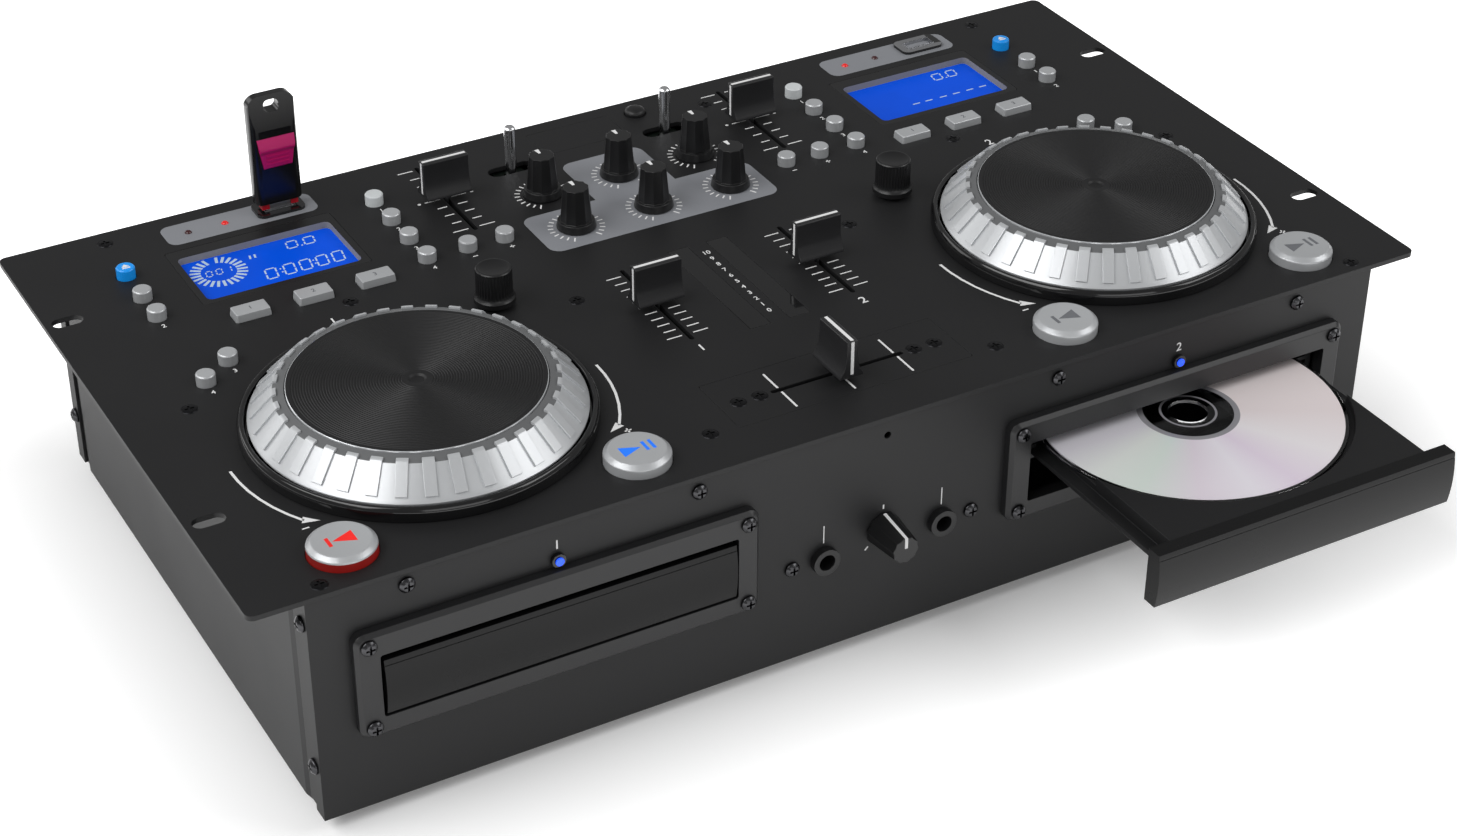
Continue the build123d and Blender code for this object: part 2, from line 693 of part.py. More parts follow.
def jog_skirt(x):
    """Silver cone with a ring of raised grip ribs that stand proud of its rim."""
    slope_r, slope_z = SKIRT_FOOT_R - 0.7, SKIRT_FOOT_Z + 1.5
    outline = [
        (RIM_IN_R, TOP_UNDER_Z),
        (SKIRT_TOP_R - 1.7, TOP_UNDER_Z),
        (SKIRT_FOOT_R - SKIRT_WALL, SKIRT_FOOT_Z),
        (SKIRT_FOOT_R, SKIRT_FOOT_Z),
        (SKIRT_FOOT_R, SKIRT_FOOT_Z + 0.8),
        (slope_r, slope_z),
        (SKIRT_TOP_R, SKIRT_TOP_Z),
        (RIM_IN_R, RIM_Z),
    ]
    skirt = turned(0, 0, outline)
    run, rise = slope_r - SKIRT_TOP_R, SKIRT_TOP_Z - slope_z
    length = math.hypot(run, rise)
    out_r, out_z = rise / length, run / length
    foot_r, foot_z = slope_r - run * 0.09, slope_z + rise * 0.09
    top_r, top_z = foot_r + RIB_H * out_r, foot_z + RIB_H * out_z
    rib_face = make_face(Plane.XZ * Polyline(
        (foot_r - 0.6 * out_r, foot_z - 0.6 * out_z),
        (top_r, top_z),
        (RIB_TOP_R, top_z + (top_r - RIB_TOP_R) * rise / run),
        (RIB_TOP_R, SKIRT_TOP_Z - 0.5),
        close=True,
    ))
    rib = extrude(rib_face, RIB_W / 2, both=True)
    ribs = [Rot(0, 0, 360 / RIB_COUNT * i) * rib for i in range(RIB_COUNT)]
    skirt += ribs
    return Pos(x, JOG_Y, 0) * skirt


def jog_top(x):
    outline = [
        (0, JOG_SHAFT_END),
        (JOG_SHAFT_R, JOG_SHAFT_END),
        (JOG_SHAFT_R, 7),
        (12, 7),
        (12, 12.9),
        (48.5, 12.9),
        (48.5, TOP_UNDER_Z),
        (TOP_R, TOP_UNDER_Z),
        (TOP_R, TOP_Z - 0.4),
        (TOP_R - 0.4, TOP_Z),
        (3.2, TOP_Z),
        (2.0, TOP_Z - 0.6),
        (0, TOP_Z - 0.8),
    ]
    return turned(x, JOG_Y, outline)


# ------------------------------------------------------------- keys
def stem_solid(x, y, r):
    """The part of a key below the plate: a stop flange and a stem to its switch."""
    flange = post(x, y, FLANGE_TOP - FLANGE_T, FLANGE_TOP, r + FLANGE_OVER)
    neck = post(x, y, FLANGE_TOP, 0, r)
    foot = block(x - STEM_R, x + STEM_R, y - STEM_R, y + STEM_R, STEM_END, FLANGE_TOP)
    return flange + neck + foot


def big_key(x):
    outline = [(0, 0), (BIG_R, 0), (BIG_R, BIG_RIM_Z), (BIG_TOP_R, BIG_TOP_Z), (0, BIG_TOP_Z)]
    return turned(x, BIG_Y, outline) + stem_solid(x, BIG_Y, BIG_R)


def small_key(x, y):
    r, h = SMALL_R, SMALL_H
    outline = [(0, 0), (r, 0), (r, h - 0.5), (r - 0.5, h), (0, h)]
    return turned(x, y, outline) + stem_solid(x, y, r)


def loop_key(x):
    cap = Pos(x, LOOP_Y, 0) * extrude(RectangleRounded(LOOP_W, LOOP_D, 1.0), LOOP_H, taper=8)
    neck = slab(x, LOOP_Y, LOOP_W, LOOP_D, 1.0, FLANGE_TOP, 0)
    w, d = LOOP_W + 2 * FLANGE_OVER, LOOP_D + 2 * FLANGE_OVER
    flange = slab(x, LOOP_Y, w, d, 1.0, FLANGE_TOP - FLANGE_T, FLANGE_TOP)
    foot = block(x - STEM_R, x + STEM_R, LOOP_Y - STEM_R, LOOP_Y + STEM_R, STEM_END, FLANGE_TOP)
    return cap + neck + flange + foot


def dome_key():
    x, y = DOME_XY
    r = DOME_R
    outline = [(0, 0), (r, 0), (r, 1.0), (r * 0.87, 2.0), (r * 0.55, 2.8), (0, 3.1)]
    return turned(x, y, outline) + stem_solid(x, y, r)


# ------------------------------------------------------------- knobs, faders, levers
def fluted_knob(length, r_base, r_top):
    """A tapered grip with shallow flutes, standing on the XY plane."""
    rings = []
    for z, radius in ((0, r_base), (length, r_top)):
        points = []
        for i in range(2 * KNOB_FLUTES):
            r = radius if i % 2 else radius * 0.9
            a = math.radians((i + 0.5) * 180 / KNOB_FLUTES)
            points.append((r * math.cos(a), r * math.sin(a), z))
        rings.append(make_face(Polyline(*points, close=True)))
    return loft(rings, ruled=True)


def mixer_knob(x, y):
    collar = turned(0, 0, [(0, GAP), (KNOB_COLLAR_R, GAP), (7.3, 3.5), (0, 3.5)])
    grip = Pos(0, 0, 3.5) * fluted_knob(KNOB_H - 3.5, KNOB_BASE_R, KNOB_TOP_R)
    shaft = post(0, 0, STEM_END, GAP, SHAFT_R)
    return Pos(x, y, 0) * (collar + grip + shaft)


def cue_level_knob():
    grip = fluted_knob(CUE_KNOB_L - GAP, CUE_KNOB_R, 5.5)
    shaft = post(0, 0, -8, 0, SHAFT_R)
    return Pos(CUE_KNOB_X, CASE_FRONT - GAP, CUE_KNOB_Z) * Rot(90, 0, 0) * (grip + shaft)


def encoder_shaft(x, y):
    return post(x, y, STEM_END, 12, SHAFT_R)


def encoder_knob(x, y):
    outline = [
        (SHAFT_HOLE_R, 1.6),
        (ENC_COLLAR_R, 1.6),
        (ENC_COLLAR_R, 4.0),
        (7.4, 5.0),
        (ENC_TOP_R, ENC_H - 0.5),
        (ENC_TOP_R - 0.5, ENC_H),
        (5.6, ENC_H),
        (0, ENC_H - 0.8),
        (0, 12),
        (SHAFT_HOLE_R, 12),
    ]
    return turned(x, y, outline)


def fader_cap(x, y, turn):
    """Tall cap whose waist flares to a wide foot, on a flat metal stem."""
    foot, ridge = CAP_FOOT_W / 2, CAP_RIDGE_W / 2
    side = [
        (foot, CAP_FOOT_Z),
        (foot - 0.3, CAP_FOOT_Z + 1.4),
        (foot * 0.68, CAP_FOOT_Z + 3.2),
        (ridge + 0.35, CAP_FOOT_Z + 6.5),
        (ridge, CAP_FOOT_Z + 11),
        (ridge, CAP_TOP_Z - 0.4),
        (ridge - 0.4, CAP_TOP_Z),
    ]
    outline = side + [(-w, z) for w, z in reversed(side)]
    face = make_face(Plane.XZ * Polyline(*outline, close=True))
    cap = extrude(face, CAP_L / 2, both=True)
    stem = block(-2, 2, -STEM_T / 2, STEM_T / 2, FADER_STEM_END, CAP_FOOT_Z)
    place = Pos(x, y, 0) * Rot(0, 0, turn)
    return place * cap, place * stem


def toggle_lever(x, y):
    """Round bat lever on a ball that rocks left and right in its bushing."""
    r = TOGGLE_R
    low, top = TOGGLE_PIVOT_Z, TOGGLE_TOP
    outline = [(0, low), (r, low), (r, top - 0.8), (r - 0.8, top), (0, top)]
    ball = Pos(x, y, TOGGLE_PIVOT_Z) * Sphere(BALL_R)
    return turned(x, y, outline) + ball


def power_rocker():
    """Rocker key shown pressed to one side, about a pivot along X."""
    points = ((-3, -7), (4.2, -8.6), (3.6, 0), (4.2, 8.6), (-3, 7))
    body = extrude(make_face(Plane.YZ * Polyline(*points, close=True)), ROCKER_KEY_W / 2, both=True)
    return Pos(ROCKER_X, ROCKER_PIVOT_Y, ROCKER_Z) * Rot(-ROCKER_TILT, 0, 0) * body


# ------------------------------------------------------------- lamps, windows, sockets
def windows():
    """Display frames with their glass, and the two meter windows."""
    solids = []
    w, d = SCREEN_FRAME
    ow, od = SCREEN_OPEN
    for x, y in SCREEN_XY:
        frame = slab(x, y, w, d, 1.5, BOARD_TOP, 0)
        frame -= slab(x, y + SCREEN_SHIFT_Y, ow, od, 2.5, -SCREEN_DEPTH, 1)
        solids.append(frame)
    for x in (-METER_X, METER_X):
        half = METER_W / 2 - 0.15
        solids.append(block(x - half, x + half, METER_Y0 + 0.15, METER_Y1 - 0.15, BOARD_TOP, 0))
    return solids


def usb_sockets():
    solids = []
    for deck_x in SOURCE_X:
        x = deck_x + USB_DX
        w, d = USB_SHELL
        rw, rd = USB_ROOM
        bw, bd = USB_BEZEL
        bezel = slab(x, USB_Y, bw, bd, 3.0, 0, USB_MOUTH - 0.3)
        bezel -= block(x - w / 2 - 0.1, x + w / 2 + 0.1, USB_Y - d / 2 - 0.1, USB_Y + d / 2 + 0.1, -1, 3)
        shell = block(x - w / 2, x + w / 2, USB_Y - d / 2, USB_Y + d / 2, BOARD_TOP, USB_MOUTH)
        shell -= block(x - rw / 2, x + rw / 2, USB_Y - rd / 2, USB_Y + rd / 2, USB_FLOOR, USB_MOUTH + 1)
        tw, td = USB_TONGUE
        shell += block(x - tw / 2, x + tw / 2, USB_Y - td / 2, USB_Y + td / 2, USB_FLOOR - 0.5, -1.5)
        solids += [bezel, shell]
    return solids


def usb_stick():
    """Memory stick standing in the left socket: holed body, slider and hollow plug."""
    x, y = SOURCE_X[0] + USB_DX, USB_Y
    body = slab(x, y, STICK_W, STICK_T, STICK_R, STICK_Z0, STICK_Z1)
    outline = Pos(0, (STICK_Z0 + STICK_Z1) / 2) * Rectangle(STICK_W, STICK_Z1 - STICK_Z0)
    face = fillet(outline.vertices().group_by(Axis.Y)[-1], STICK_END_R)
    length, height = STICK_HOLE
    face -= Pos(0, STICK_HOLE_Z) * RectangleRounded(length, height, height * 0.4)
    body &= facing(x, 0, y + STICK_T / 2, face, STICK_T)
    thick, thin = STICK_T / 2, STICK_END_T / 2
    side = [(thick, STICK_Z0), (thick, STICK_TAPER_Z), (thin, STICK_Z1)]
    side += [(-w, z) for w, z in reversed(side)]
    body &= Pos(x, y, 0) * extrude(make_face(Plane.YZ * Polyline(*side, close=True)), STICK_W, both=True)
    return body, stick_slider(x, y - thick), stick_plug(x, y), *stick_carrier(x, y)


def stick_slider(x, y):
    """Thumb slider on the stick's front, wide and hooded at its top."""
    (z0, z1), (w0, w1) = SLIDER_Z, SLIDER_W
    neck = z1 - 5.0
    right = [(w0 / 2, z0), (w1 / 2 - 0.6, neck), (w1 / 2, z1)]
    points = right + [(-w, z) for w, z in reversed(right)]
    face = make_face(Polyline(*points, close=True))
    plate = facing(x, 0, y, face, SLIDER_OUT)
    low, full = -SLIDER_OUT / 2, -SLIDER_OUT
    side = [(0, z0), (low, z0 + 0.8), (low, neck - 1.5), (full, neck), (full, neck + 1.5), (0, z1)]
    hood = extrude(make_face(Plane.YZ * Polyline(*side, close=True)), w1, both=True)
    return plate & Pos(x, y, 0) * hood


def stick_plug(x, y):
    w, d = STICK_PLUG
    plug = block(x - w / 2, x + w / 2, y - d / 2, y + d / 2, PLUG_END, STICK_Z0)
    w, d = PLUG_ROOM
    return plug - block(x - w / 2, x + w / 2, y - d / 2, y + d / 2, PLUG_END - 1, 0)


def stick_carrier(x, y):
    """The two ends of the plug's plastic carrier, below the body."""
    w, d = CARRIER
    ends = block(x - w / 2, x + w / 2, y - d / 2, y + d / 2, CARRIER_Z, STICK_Z0)
    pw, pd = STICK_PLUG
    ends -= block(x - pw / 2, x + pw / 2, y - pd / 2, y + pd / 2, 0, STICK_Z0 + 1)
    ends -= block(x - CARRIER_GAP / 2, x + CARRIER_GAP / 2, y - d, y + d, 0, STICK_Z0 + 1)
    return ends.solids()


def indicator_leds():
    solids = []
    for x in (-LED_X, LED_X):
        ring = rod(x, LED_Z, CASE_FRONT - 1.7, CASE_FRONT, LED_RING_R)
        ring += rod(x, LED_Z, CASE_FRONT - 1, CASE_FRONT + LED_LENGTH, LED_BODY_R)
        lens = rod(x, LED_Z, CASE_FRONT - 2.4, CASE_FRONT - 1.7, LED_LENS_R)
        solids += [ring, lens]
    for deck_x in SOURCE_X:
        for dx in SOURCE_LED_DX:
            dome = [(0, BOARD_TOP), (1.5, BOARD_TOP), (1.5, 0), (1.0, 0.7), (0, 0.9)]
            solids.append(turned(deck_x + dx, SOURCE_LED_Y, dome))
    return solids


def sockets():
    """Front jacks, and behind: phono sockets, ground post, mains inlet, rocker frame."""
    solids = []
    for side in (-1, 1):
        x = CUE_KNOB_X + side * JACK_DX
        nut = rod(x, JACK_Z, CASE_FRONT - JACK_NUT_L, CASE_FRONT, JACK_NUT_R)
        neck = rod(x, JACK_Z, CASE_FRONT, CASE_FRONT + SHEET, JACK_NECK_R)
        half = JACK_BODY_HALF
        body = block(x - half, x + half, CASE_FRONT + SHEET, JACK_BODY_END, JACK_Z - half, JACK_Z + half)
        bore = rod(x, JACK_Z, CASE_FRONT - JACK_NUT_L - 1, JACK_BODY_END - 2, JACK_BORE_R)
        jack = nut + neck + body - bore
        solids.append(jack)
    for x in RCA_X:
        barrel = rod(x, RCA_Z, CASE_REAR, CASE_REAR + RCA_L, RCA_R)
        barrel += rod(x, RCA_Z, CASE_REAR - RCA_NECK_L, CASE_REAR, RCA_NECK_R)
        barrel += rod(x, RCA_Z, CASE_REAR, CASE_REAR + RCA_FLANGE_L, RCA_FLANGE_R)
        barrel -= rod(x, RCA_Z, CASE_REAR + RCA_L - RCA_HOLE_L, CASE_REAR + RCA_L + 1, RCA_HOLE_R)
        solids.append(barrel)
    x, z = GROUND_XZ
    ground = rod(x, z, CASE_REAR, CASE_REAR + GROUND_L, GROUND_R)
    ground += rod(x, z, CASE_REAR - GROUND_L, CASE_REAR, GROUND_POST_R)
    solids.append(ground)
    solids.append(mains_inlet())
    solids.append(rocker_frame())
    return solids


def mains_inlet():
    w, h = INLET_ROOM
    ow, oh = INLET_OUT
    x, z, y = INLET_X, INLET_Z, CASE_REAR
    body = block(x - ow / 2, x + ow / 2, y, y + INLET_FLANGE, z - oh / 2, z + oh / 2)
    shell = Rectangle(w + 2 * INLET_WALL, h + 2 * INLET_WALL)
    body += facing(x, z, y, shell, INLET_DEPTH + INLET_WALL)
    body -= facing(x, z, y + INLET_FLANGE + 1, Rectangle(w, h), INLET_DEPTH + INLET_FLANGE + 1)
    pw, ph = INLET_PIN
    for dx, dz in INLET_PINS:
        body += facing(x + dx, z + dz, y - INLET_FLANGE, Rectangle(pw, ph), INLET_DEPTH - INLET_FLANGE + 1)
    return body


def rocker_frame():
    x, z, y = ROCKER_X, ROCKER_Z, CASE_REAR
    frame = facing(x, z, y + RCA_FLANGE_L, Rectangle(*ROCKER_FLANGE), RCA_FLANGE_L)
    frame += facing(x, z, y, Rectangle(*ROCKER_BODY), ROCKER_DEPTH)
    frame -= facing(x, z, y + 2, Rectangle(*ROCKER_ROOM), ROCKER_FLOOR + 2)
    return frame


# ------------------------------------------------------------- inside
def column(x, y, w, d, z0, z1):
    return block(x - w / 2, x + w / 2, y - d / 2, y + d / 2, z0, z1)


def control_board():
    half = CASE_W / 2 - BOARD_IN
    solids = [block(-half, half, *BOARD_Y, BOARD_TOP - BOARD_T, BOARD_TOP)]
    for name, x, y, half, turn in fader_places():
        top = -PLATE_T if name == "crossfader" else UNIT_TOP
        outer, inner = (2 * (half + UNIT_OVER), UNIT_W), (2 * half, UNIT_ROOM)
        if turn:
            outer, inner = outer[::-1], inner[::-1]
        unit = column(x, y, *outer, BOARD_TOP, top)
        solids.append(unit - column(x, y, *inner, FADER_STEM_END - 1, 0))
    for x, y in knob_places() + list(ENCODER_XY):
        pot = column(x, y, POT_W, POT_D, BOARD_TOP, UNIT_TOP)
        solids.append(pot - post(x, y, STEM_END - 1.5, 0, SHAFT_HOLE_R))
    for x, y in TOGGLE_XY:
        unit = column(x, y, *LEVER_UNIT, BOARD_TOP, TOGGLE_PIVOT_Z + 3)
        unit -= Pos(x, y, TOGGLE_PIVOT_Z) * Sphere(SOCKET_R)
        solids.append(unit - post(x, y, TOGGLE_PIVOT_Z, 0, BALL_HOLE_R))
    keys = [(x, BIG_Y) for x in CUE_X + PLAY_X]
    keys += [spot for bank in small_keys().values() for spot in bank]
    keys += [(x, LOOP_Y) for deck in LOOP_X for x in deck]
    keys.append(DOME_XY)
    for x, y in keys:
        solids.append(column(x, y, SWITCH_W, SWITCH_W, BOARD_TOP, SWITCH_TOP))
    for x, y in STANDOFFS:
        solids.append(column(x, y, STANDOFF_W, STANDOFF_W, BOARD_TOP, -PLATE_T))
    back = CASE_FRONT + SHEET
    x, z = CUE_KNOB_X, CUE_KNOB_Z
    pot = facing(x, z, back + FRONT_POT_D, Rectangle(FRONT_POT_W, FRONT_POT_W), FRONT_POT_D)
    solids.append(pot - rod(x, z, back - 1, back + FRONT_POT_D - 1, SHAFT_HOLE_R))
    return solids


def power_supply():
    """Raised board with its transformer and two upright capacitors."""
    x, y, w, d = SUPPLY_X, SUPPLY_Y, SUPPLY_W, SUPPLY_D
    floor = CASE_BOTTOM + SHEET
    under = floor + SUPPLY_LIFT
    top = under + BOARD_T
    solids = [column(x, y, w, d, under, top)]
    dx, dy = w / 2 - SUPPLY_LEG_IN, d / 2 - SUPPLY_LEG_IN
    for sx, sy in ((-dx, -dy), (-dx, dy), (dx, -dy), (dx, dy)):
        solids.append(column(x + sx, y + sy, SUPPLY_LEG_W, SUPPLY_LEG_W, floor, under))
    core_w, core_d, core_h = CORE_SIZE
    solids.append(column(x + CORE_DX, y, core_w, core_d, top, top + core_h))
    solids += [post(x + dx, y + CAP_DY, top, top + CAP_H, CAP_R) for dx in CAP_DX]
    return solids


# ------------------------------------------------------------- all pieces
def main():
    os.makedirs("parts", exist_ok=True)
    save("top_plate", top_plate())
    save("inset_plates", *inset_plates())
    save("front_panel", front_panel())
    save("chassis", chassis())
    save("rear_panel", rear_panel())
    save("feet", *feet())
    save("screws", *screws())
    save("drive_bezels", *drive_bezels())
    save("loader_frames", loader_frame(-DRIVE_X), loader_frame(DRIVE_X))
    save("jog_bases", jog_base(-JOG_X), jog_base(JOG_X))
    save("display_and_meter_windows", *windows())
    save("usb_sockets", *usb_sockets())
    save("usb_stick", *usb_stick())
    save("indicator_leds", *indicator_leds())
    save("sockets", *sockets())
    save("control_board", *control_board())
    save("power_supply", *power_supply())
    for side, x, out in (("a", -DRIVE_X, 0.0), ("b", DRIVE_X, TRAY_B_OUT)):
        save(f"tray_{side}", tray(x, out))
        save(f"fascia_{side}", fascia(x, out))
    save("disc_b", disc(DRIVE_X, TRAY_B_OUT))
    for side, x in (("a", -JOG_X), ("b", JOG_X)):
        save(f"jog_skirt_{side}", jog_skirt(x))
        save(f"jog_top_{side}", jog_top(x))
    for deck, side in enumerate(("a", "b")):
        save(f"cue_button_{side}", big_key(CUE_X[deck]))
        save(f"play_button_{side}", big_key(PLAY_X[deck]))
        save(f"loop_keys_{side}", *[loop_key(x) for x in LOOP_X[deck]])
        save(f"encoder_shaft_{side}", encoder_shaft(*ENCODER_XY[deck]))
        save(f"encoder_knob_{side}", encoder_knob(*ENCODER_XY[deck]))
        save(f"toggle_lever_{side}", toggle_lever(*TOGGLE_XY[deck]))
    for name, spots in small_keys().items():
        save(name, *[small_key(x, y) for x, y in spots])
    for name, x, y, half, turn in fader_places():
        save(name, *fader_cap(x, y, turn))
    for i, (x, y) in enumerate(knob_places()):
        save(f"mixer_knob_{i + 1}", mixer_knob(x, y))
    save("cue_level_knob", cue_level_knob())
    save("dome_button", dome_key())
    save("power_rocker", power_rocker())


if __name__ == "__main__":
    main()
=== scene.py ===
import json
import math

import bmesh
import bpy
from bpy.props import FloatProperty, FloatVectorProperty, PointerProperty
from mathutils import Matrix, Vector

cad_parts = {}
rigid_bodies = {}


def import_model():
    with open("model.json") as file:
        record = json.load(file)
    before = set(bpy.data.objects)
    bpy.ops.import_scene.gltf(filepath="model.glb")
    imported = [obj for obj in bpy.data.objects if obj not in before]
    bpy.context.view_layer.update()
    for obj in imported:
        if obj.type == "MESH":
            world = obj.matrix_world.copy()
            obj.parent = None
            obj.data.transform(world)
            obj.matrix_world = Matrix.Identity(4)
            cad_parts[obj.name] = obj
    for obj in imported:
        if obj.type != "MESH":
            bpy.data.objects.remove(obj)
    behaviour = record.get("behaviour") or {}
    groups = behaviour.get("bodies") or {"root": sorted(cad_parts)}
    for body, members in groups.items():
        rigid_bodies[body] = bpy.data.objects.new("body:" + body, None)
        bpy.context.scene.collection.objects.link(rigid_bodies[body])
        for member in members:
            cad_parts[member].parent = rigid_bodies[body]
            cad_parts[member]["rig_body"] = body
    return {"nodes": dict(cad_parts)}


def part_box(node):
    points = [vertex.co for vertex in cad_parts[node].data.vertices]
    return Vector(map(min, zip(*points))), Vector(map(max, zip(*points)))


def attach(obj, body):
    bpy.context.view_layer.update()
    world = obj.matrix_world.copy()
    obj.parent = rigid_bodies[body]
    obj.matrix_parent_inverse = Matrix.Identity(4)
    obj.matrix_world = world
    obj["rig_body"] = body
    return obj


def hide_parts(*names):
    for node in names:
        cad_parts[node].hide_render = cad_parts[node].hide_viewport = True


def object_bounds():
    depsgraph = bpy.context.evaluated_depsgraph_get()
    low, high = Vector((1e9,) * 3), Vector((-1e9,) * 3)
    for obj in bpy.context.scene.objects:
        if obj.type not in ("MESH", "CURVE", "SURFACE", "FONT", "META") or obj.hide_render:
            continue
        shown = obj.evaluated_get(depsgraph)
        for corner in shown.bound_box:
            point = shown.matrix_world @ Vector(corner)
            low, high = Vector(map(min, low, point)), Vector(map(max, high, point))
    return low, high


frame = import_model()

bl_info = {
    "name": "Dual Disc Console",
    "version": (1, 0, 0),
    "blender": (4, 5, 0),
    "location": "View3D > Sidebar > Disc Console",
    "description": "Finishes for a rack-width console with two disc drives and a mixer",
    "category": "Object",
}

CAD_BOX = [list(corner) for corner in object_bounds()]
MM = 0.001
PLATE_MID_Y = 130.0  # the frame's origin lies this far behind the plate's front edge
INK = 0.06  # height of a printed line, mm


def srgb(code):
    """A #rrggbb colour as linear red, green, blue."""
    parts = [int(code[i:i + 2], 16) / 255 for i in (1, 3, 5)]
    return tuple(c / 12.92 if c <= 0.04045 else ((c + 0.055) / 1.055) ** 2.4 for c in parts)


def shade(colour, share):
    """A colour made darker or lighter by one factor."""
    return tuple(c * share for c in colour)


def spot(x, y, z):
    """A place given in mm from the plate's front edge, middle and upper face."""
    return Vector((x, y - PLATE_MID_Y, z)) * MM


# ---------------------------------------------------------------- user values
def colour_value(name, description, code):
    return FloatVectorProperty(
        name=name, description=description, subtype="COLOR", size=3, min=0, max=1, default=srgb(code)
    )


def length_value(name, description, size_mm):
    return FloatProperty(
        name=name, description=description, unit="LENGTH", min=0, default=size_mm * MM
    )


class ConsoleColours(bpy.types.PropertyGroup):
    coat: colour_value("Powder coat", "Colour of the folded steel's coat", "#1a1a1b")
    plastic: colour_value("Black plastic", "Colour of bezels, trays and knobs", "#161617")
    silver: colour_value("Silver plastic", "Lacquer on the jog skirts and keys", "#b9bbbd")
    ink: colour_value("White ink", "Printed scales and numbers", "#e8e8e8")
    grey_ink: colour_value("Silver ink", "Printed silver fields", "#85878c")
    backlight: colour_value("Backlight", "Colour of the lit displays", "#003fb2")
    eject: colour_value("Eject keys", "Colour of the two eject keys", "#128fe6")
    slider: colour_value("Stick slider", "Colour of the memory stick's slider", "#b81462")


class ConsoleSizes(bpy.types.PropertyGroup):
    groove: length_value("Groove pitch", "Distance between the jog top's turned grooves", 0.98)
    edge: length_value("Moulded edge", "Radius on the edges of moulded plastic", 0.55)
    knurl: length_value("Knurl depth", "Depth of the encoder knobs' knurl", 0.35)
    screw: length_value("Screw head", "Diameter of the countersunk heads", 5.6)


# ---------------------------------------------------------------- materials
def put(tree, kind, settings=None, sockets=None, feeds=None):
    """Adds a node, sets its settings and sockets, and links what feeds it."""
    node = tree.nodes.new(kind)
    for key, value in (settings or {}).items():
        setattr(node, key, value)
    for key, value in (sockets or {}).items():
        node.inputs[key].default_value = value
    for key, source in (feeds or {}).items():
        tree.links.new(source, node.inputs[key])
    return node


def any_ray(tree, *kinds):
    """1 for a ray of any of the kinds named, else 0."""
    rays = put(tree, "ShaderNodeLightPath").outputs
    seen = rays[f"Is {kinds[0]} Ray"]
    for kind in kinds[1:]:
        feeds = {0: seen, 1: rays[f"Is {kind} Ray"]}
        seen = put(tree, "ShaderNodeMath", {"operation": "MAXIMUM"}, feeds=feeds).outputs[0]
    return seen


def new_surface(name, colour, roughness, **sockets):
    """A material with one Principled shader, and its tree and shader."""
    material = bpy.data.materials.new(name)
    material.use_nodes = True
    tree = material.node_tree
    shader = tree.nodes["Principled BSDF"]
    shader.inputs["Base Color"].default_value = (*colour, 1)
    shader.inputs["Roughness"].default_value = roughness
    for key, value in sockets.items():
        shader.inputs[key.replace("_", " ")].default_value = value
    return material, tree, shader


def grain(tree, shader, size_mm, height_mm, colour, spread, rough, rough_spread):
    """Surface grain of a real size: height, tone and gloss vary together."""
    place = put(tree, "ShaderNodeTexCoord").outputs["Object"]
    noise = put(
        tree, "ShaderNodeTexNoise",
        sockets={"Scale": 1 / (size_mm * MM), "Detail": 3.0, "Roughness": 0.6}, feeds={"Vector": place},
    ).outputs["Fac"]
    bump = put(
        tree, "ShaderNodeBump",
        sockets={"Distance": height_mm * MM, "Strength": 1.0}, feeds={"Height": noise},
    )
    tree.links.new(bump.outputs["Normal"], shader.inputs["Normal"])
    slow = put(
        tree, "ShaderNodeTexNoise", sockets={"Scale": 22.0, "Detail": 4.0}, feeds={"Vector": place}
    ).outputs["Fac"]
    dark = shade(colour, 1 - spread)
    light = tuple(min(1, c * (1 + spread)) for c in colour)
    ramp = put(tree, "ShaderNodeValToRGB", feeds={"Fac": slow})
    ramp.color_ramp.elements[0].position = 0.3
    ramp.color_ramp.elements[0].color = (*dark, 1)
    ramp.color_ramp.elements[1].position = 0.7
    ramp.color_ramp.elements[1].color = (*light, 1)
    tree.links.new(ramp.outputs["Color"], shader.inputs["Base Color"])
    gloss = put(
        tree, "ShaderNodeMapRange",
        sockets={"To Min": rough - rough_spread, "To Max": rough + rough_spread}, feeds={"Value": slow},
    )
    tree.links.new(gloss.outputs["Result"], shader.inputs["Roughness"])
    return bump


def powder_coated_steel(colour):
    # Epoxy powder baked on sheet steel: a fine orange peel, about 0.7 mm from crest to
    # crest, that breaks highlights into a soft sheen. Sheet edges carry a 0.4 mm round.
    material, tree, shader = new_surface("powder_coated_steel", colour, 0.5, Specular_IOR_Level=0.32)
    bump = grain(tree, shader, 0.7, 0.02, colour, 0.1, 0.5, 0.05)
    edge = put(tree, "ShaderNodeBevel", {"samples": 4}, {"Radius": 0.4 * MM})
    tree.links.new(edge.outputs["Normal"], bump.inputs["Normal"])
    return material


def moulded_abs(name, colour, roughness, grain_mm=0.35, height_mm=0.006, shine=0.4):
    # Injection moulded ABS: the tool's spark-eroded texture, finer than the coat's. The
    # rubber, the boards' mask and the acrylic are the same make-up with their own grain.
    material, tree, shader = new_surface(name, colour, roughness, IOR=1.53, Specular_IOR_Level=shine)
    grain(tree, shader, grain_mm, height_mm, colour, 0.06, roughness, 0.03)
    return material


def lacquered_abs(name, colour, roughness, metallic=0.5):
    # ABS sprayed with aluminium-flake lacquer: partly metallic, flakes about 0.15 mm,
    # drawn at 0.3 mm so that they show.
    material, tree, shader = new_surface(name, colour, roughness, Metallic=metallic)
    grain(tree, shader, 0.3, 0.003, colour, 0.05, roughness, 0.04)
    return material


def plated_metal(name, colour, roughness, lay_mm=0.4):
    # Chrome, zinc or black plate: a metal with faint lay from the die.
    material, tree, shader = new_surface(name, colour, roughness, Metallic=1.0)
    grain(tree, shader, lay_mm, 0.002, colour, 0.04, roughness, 0.04)
    return material


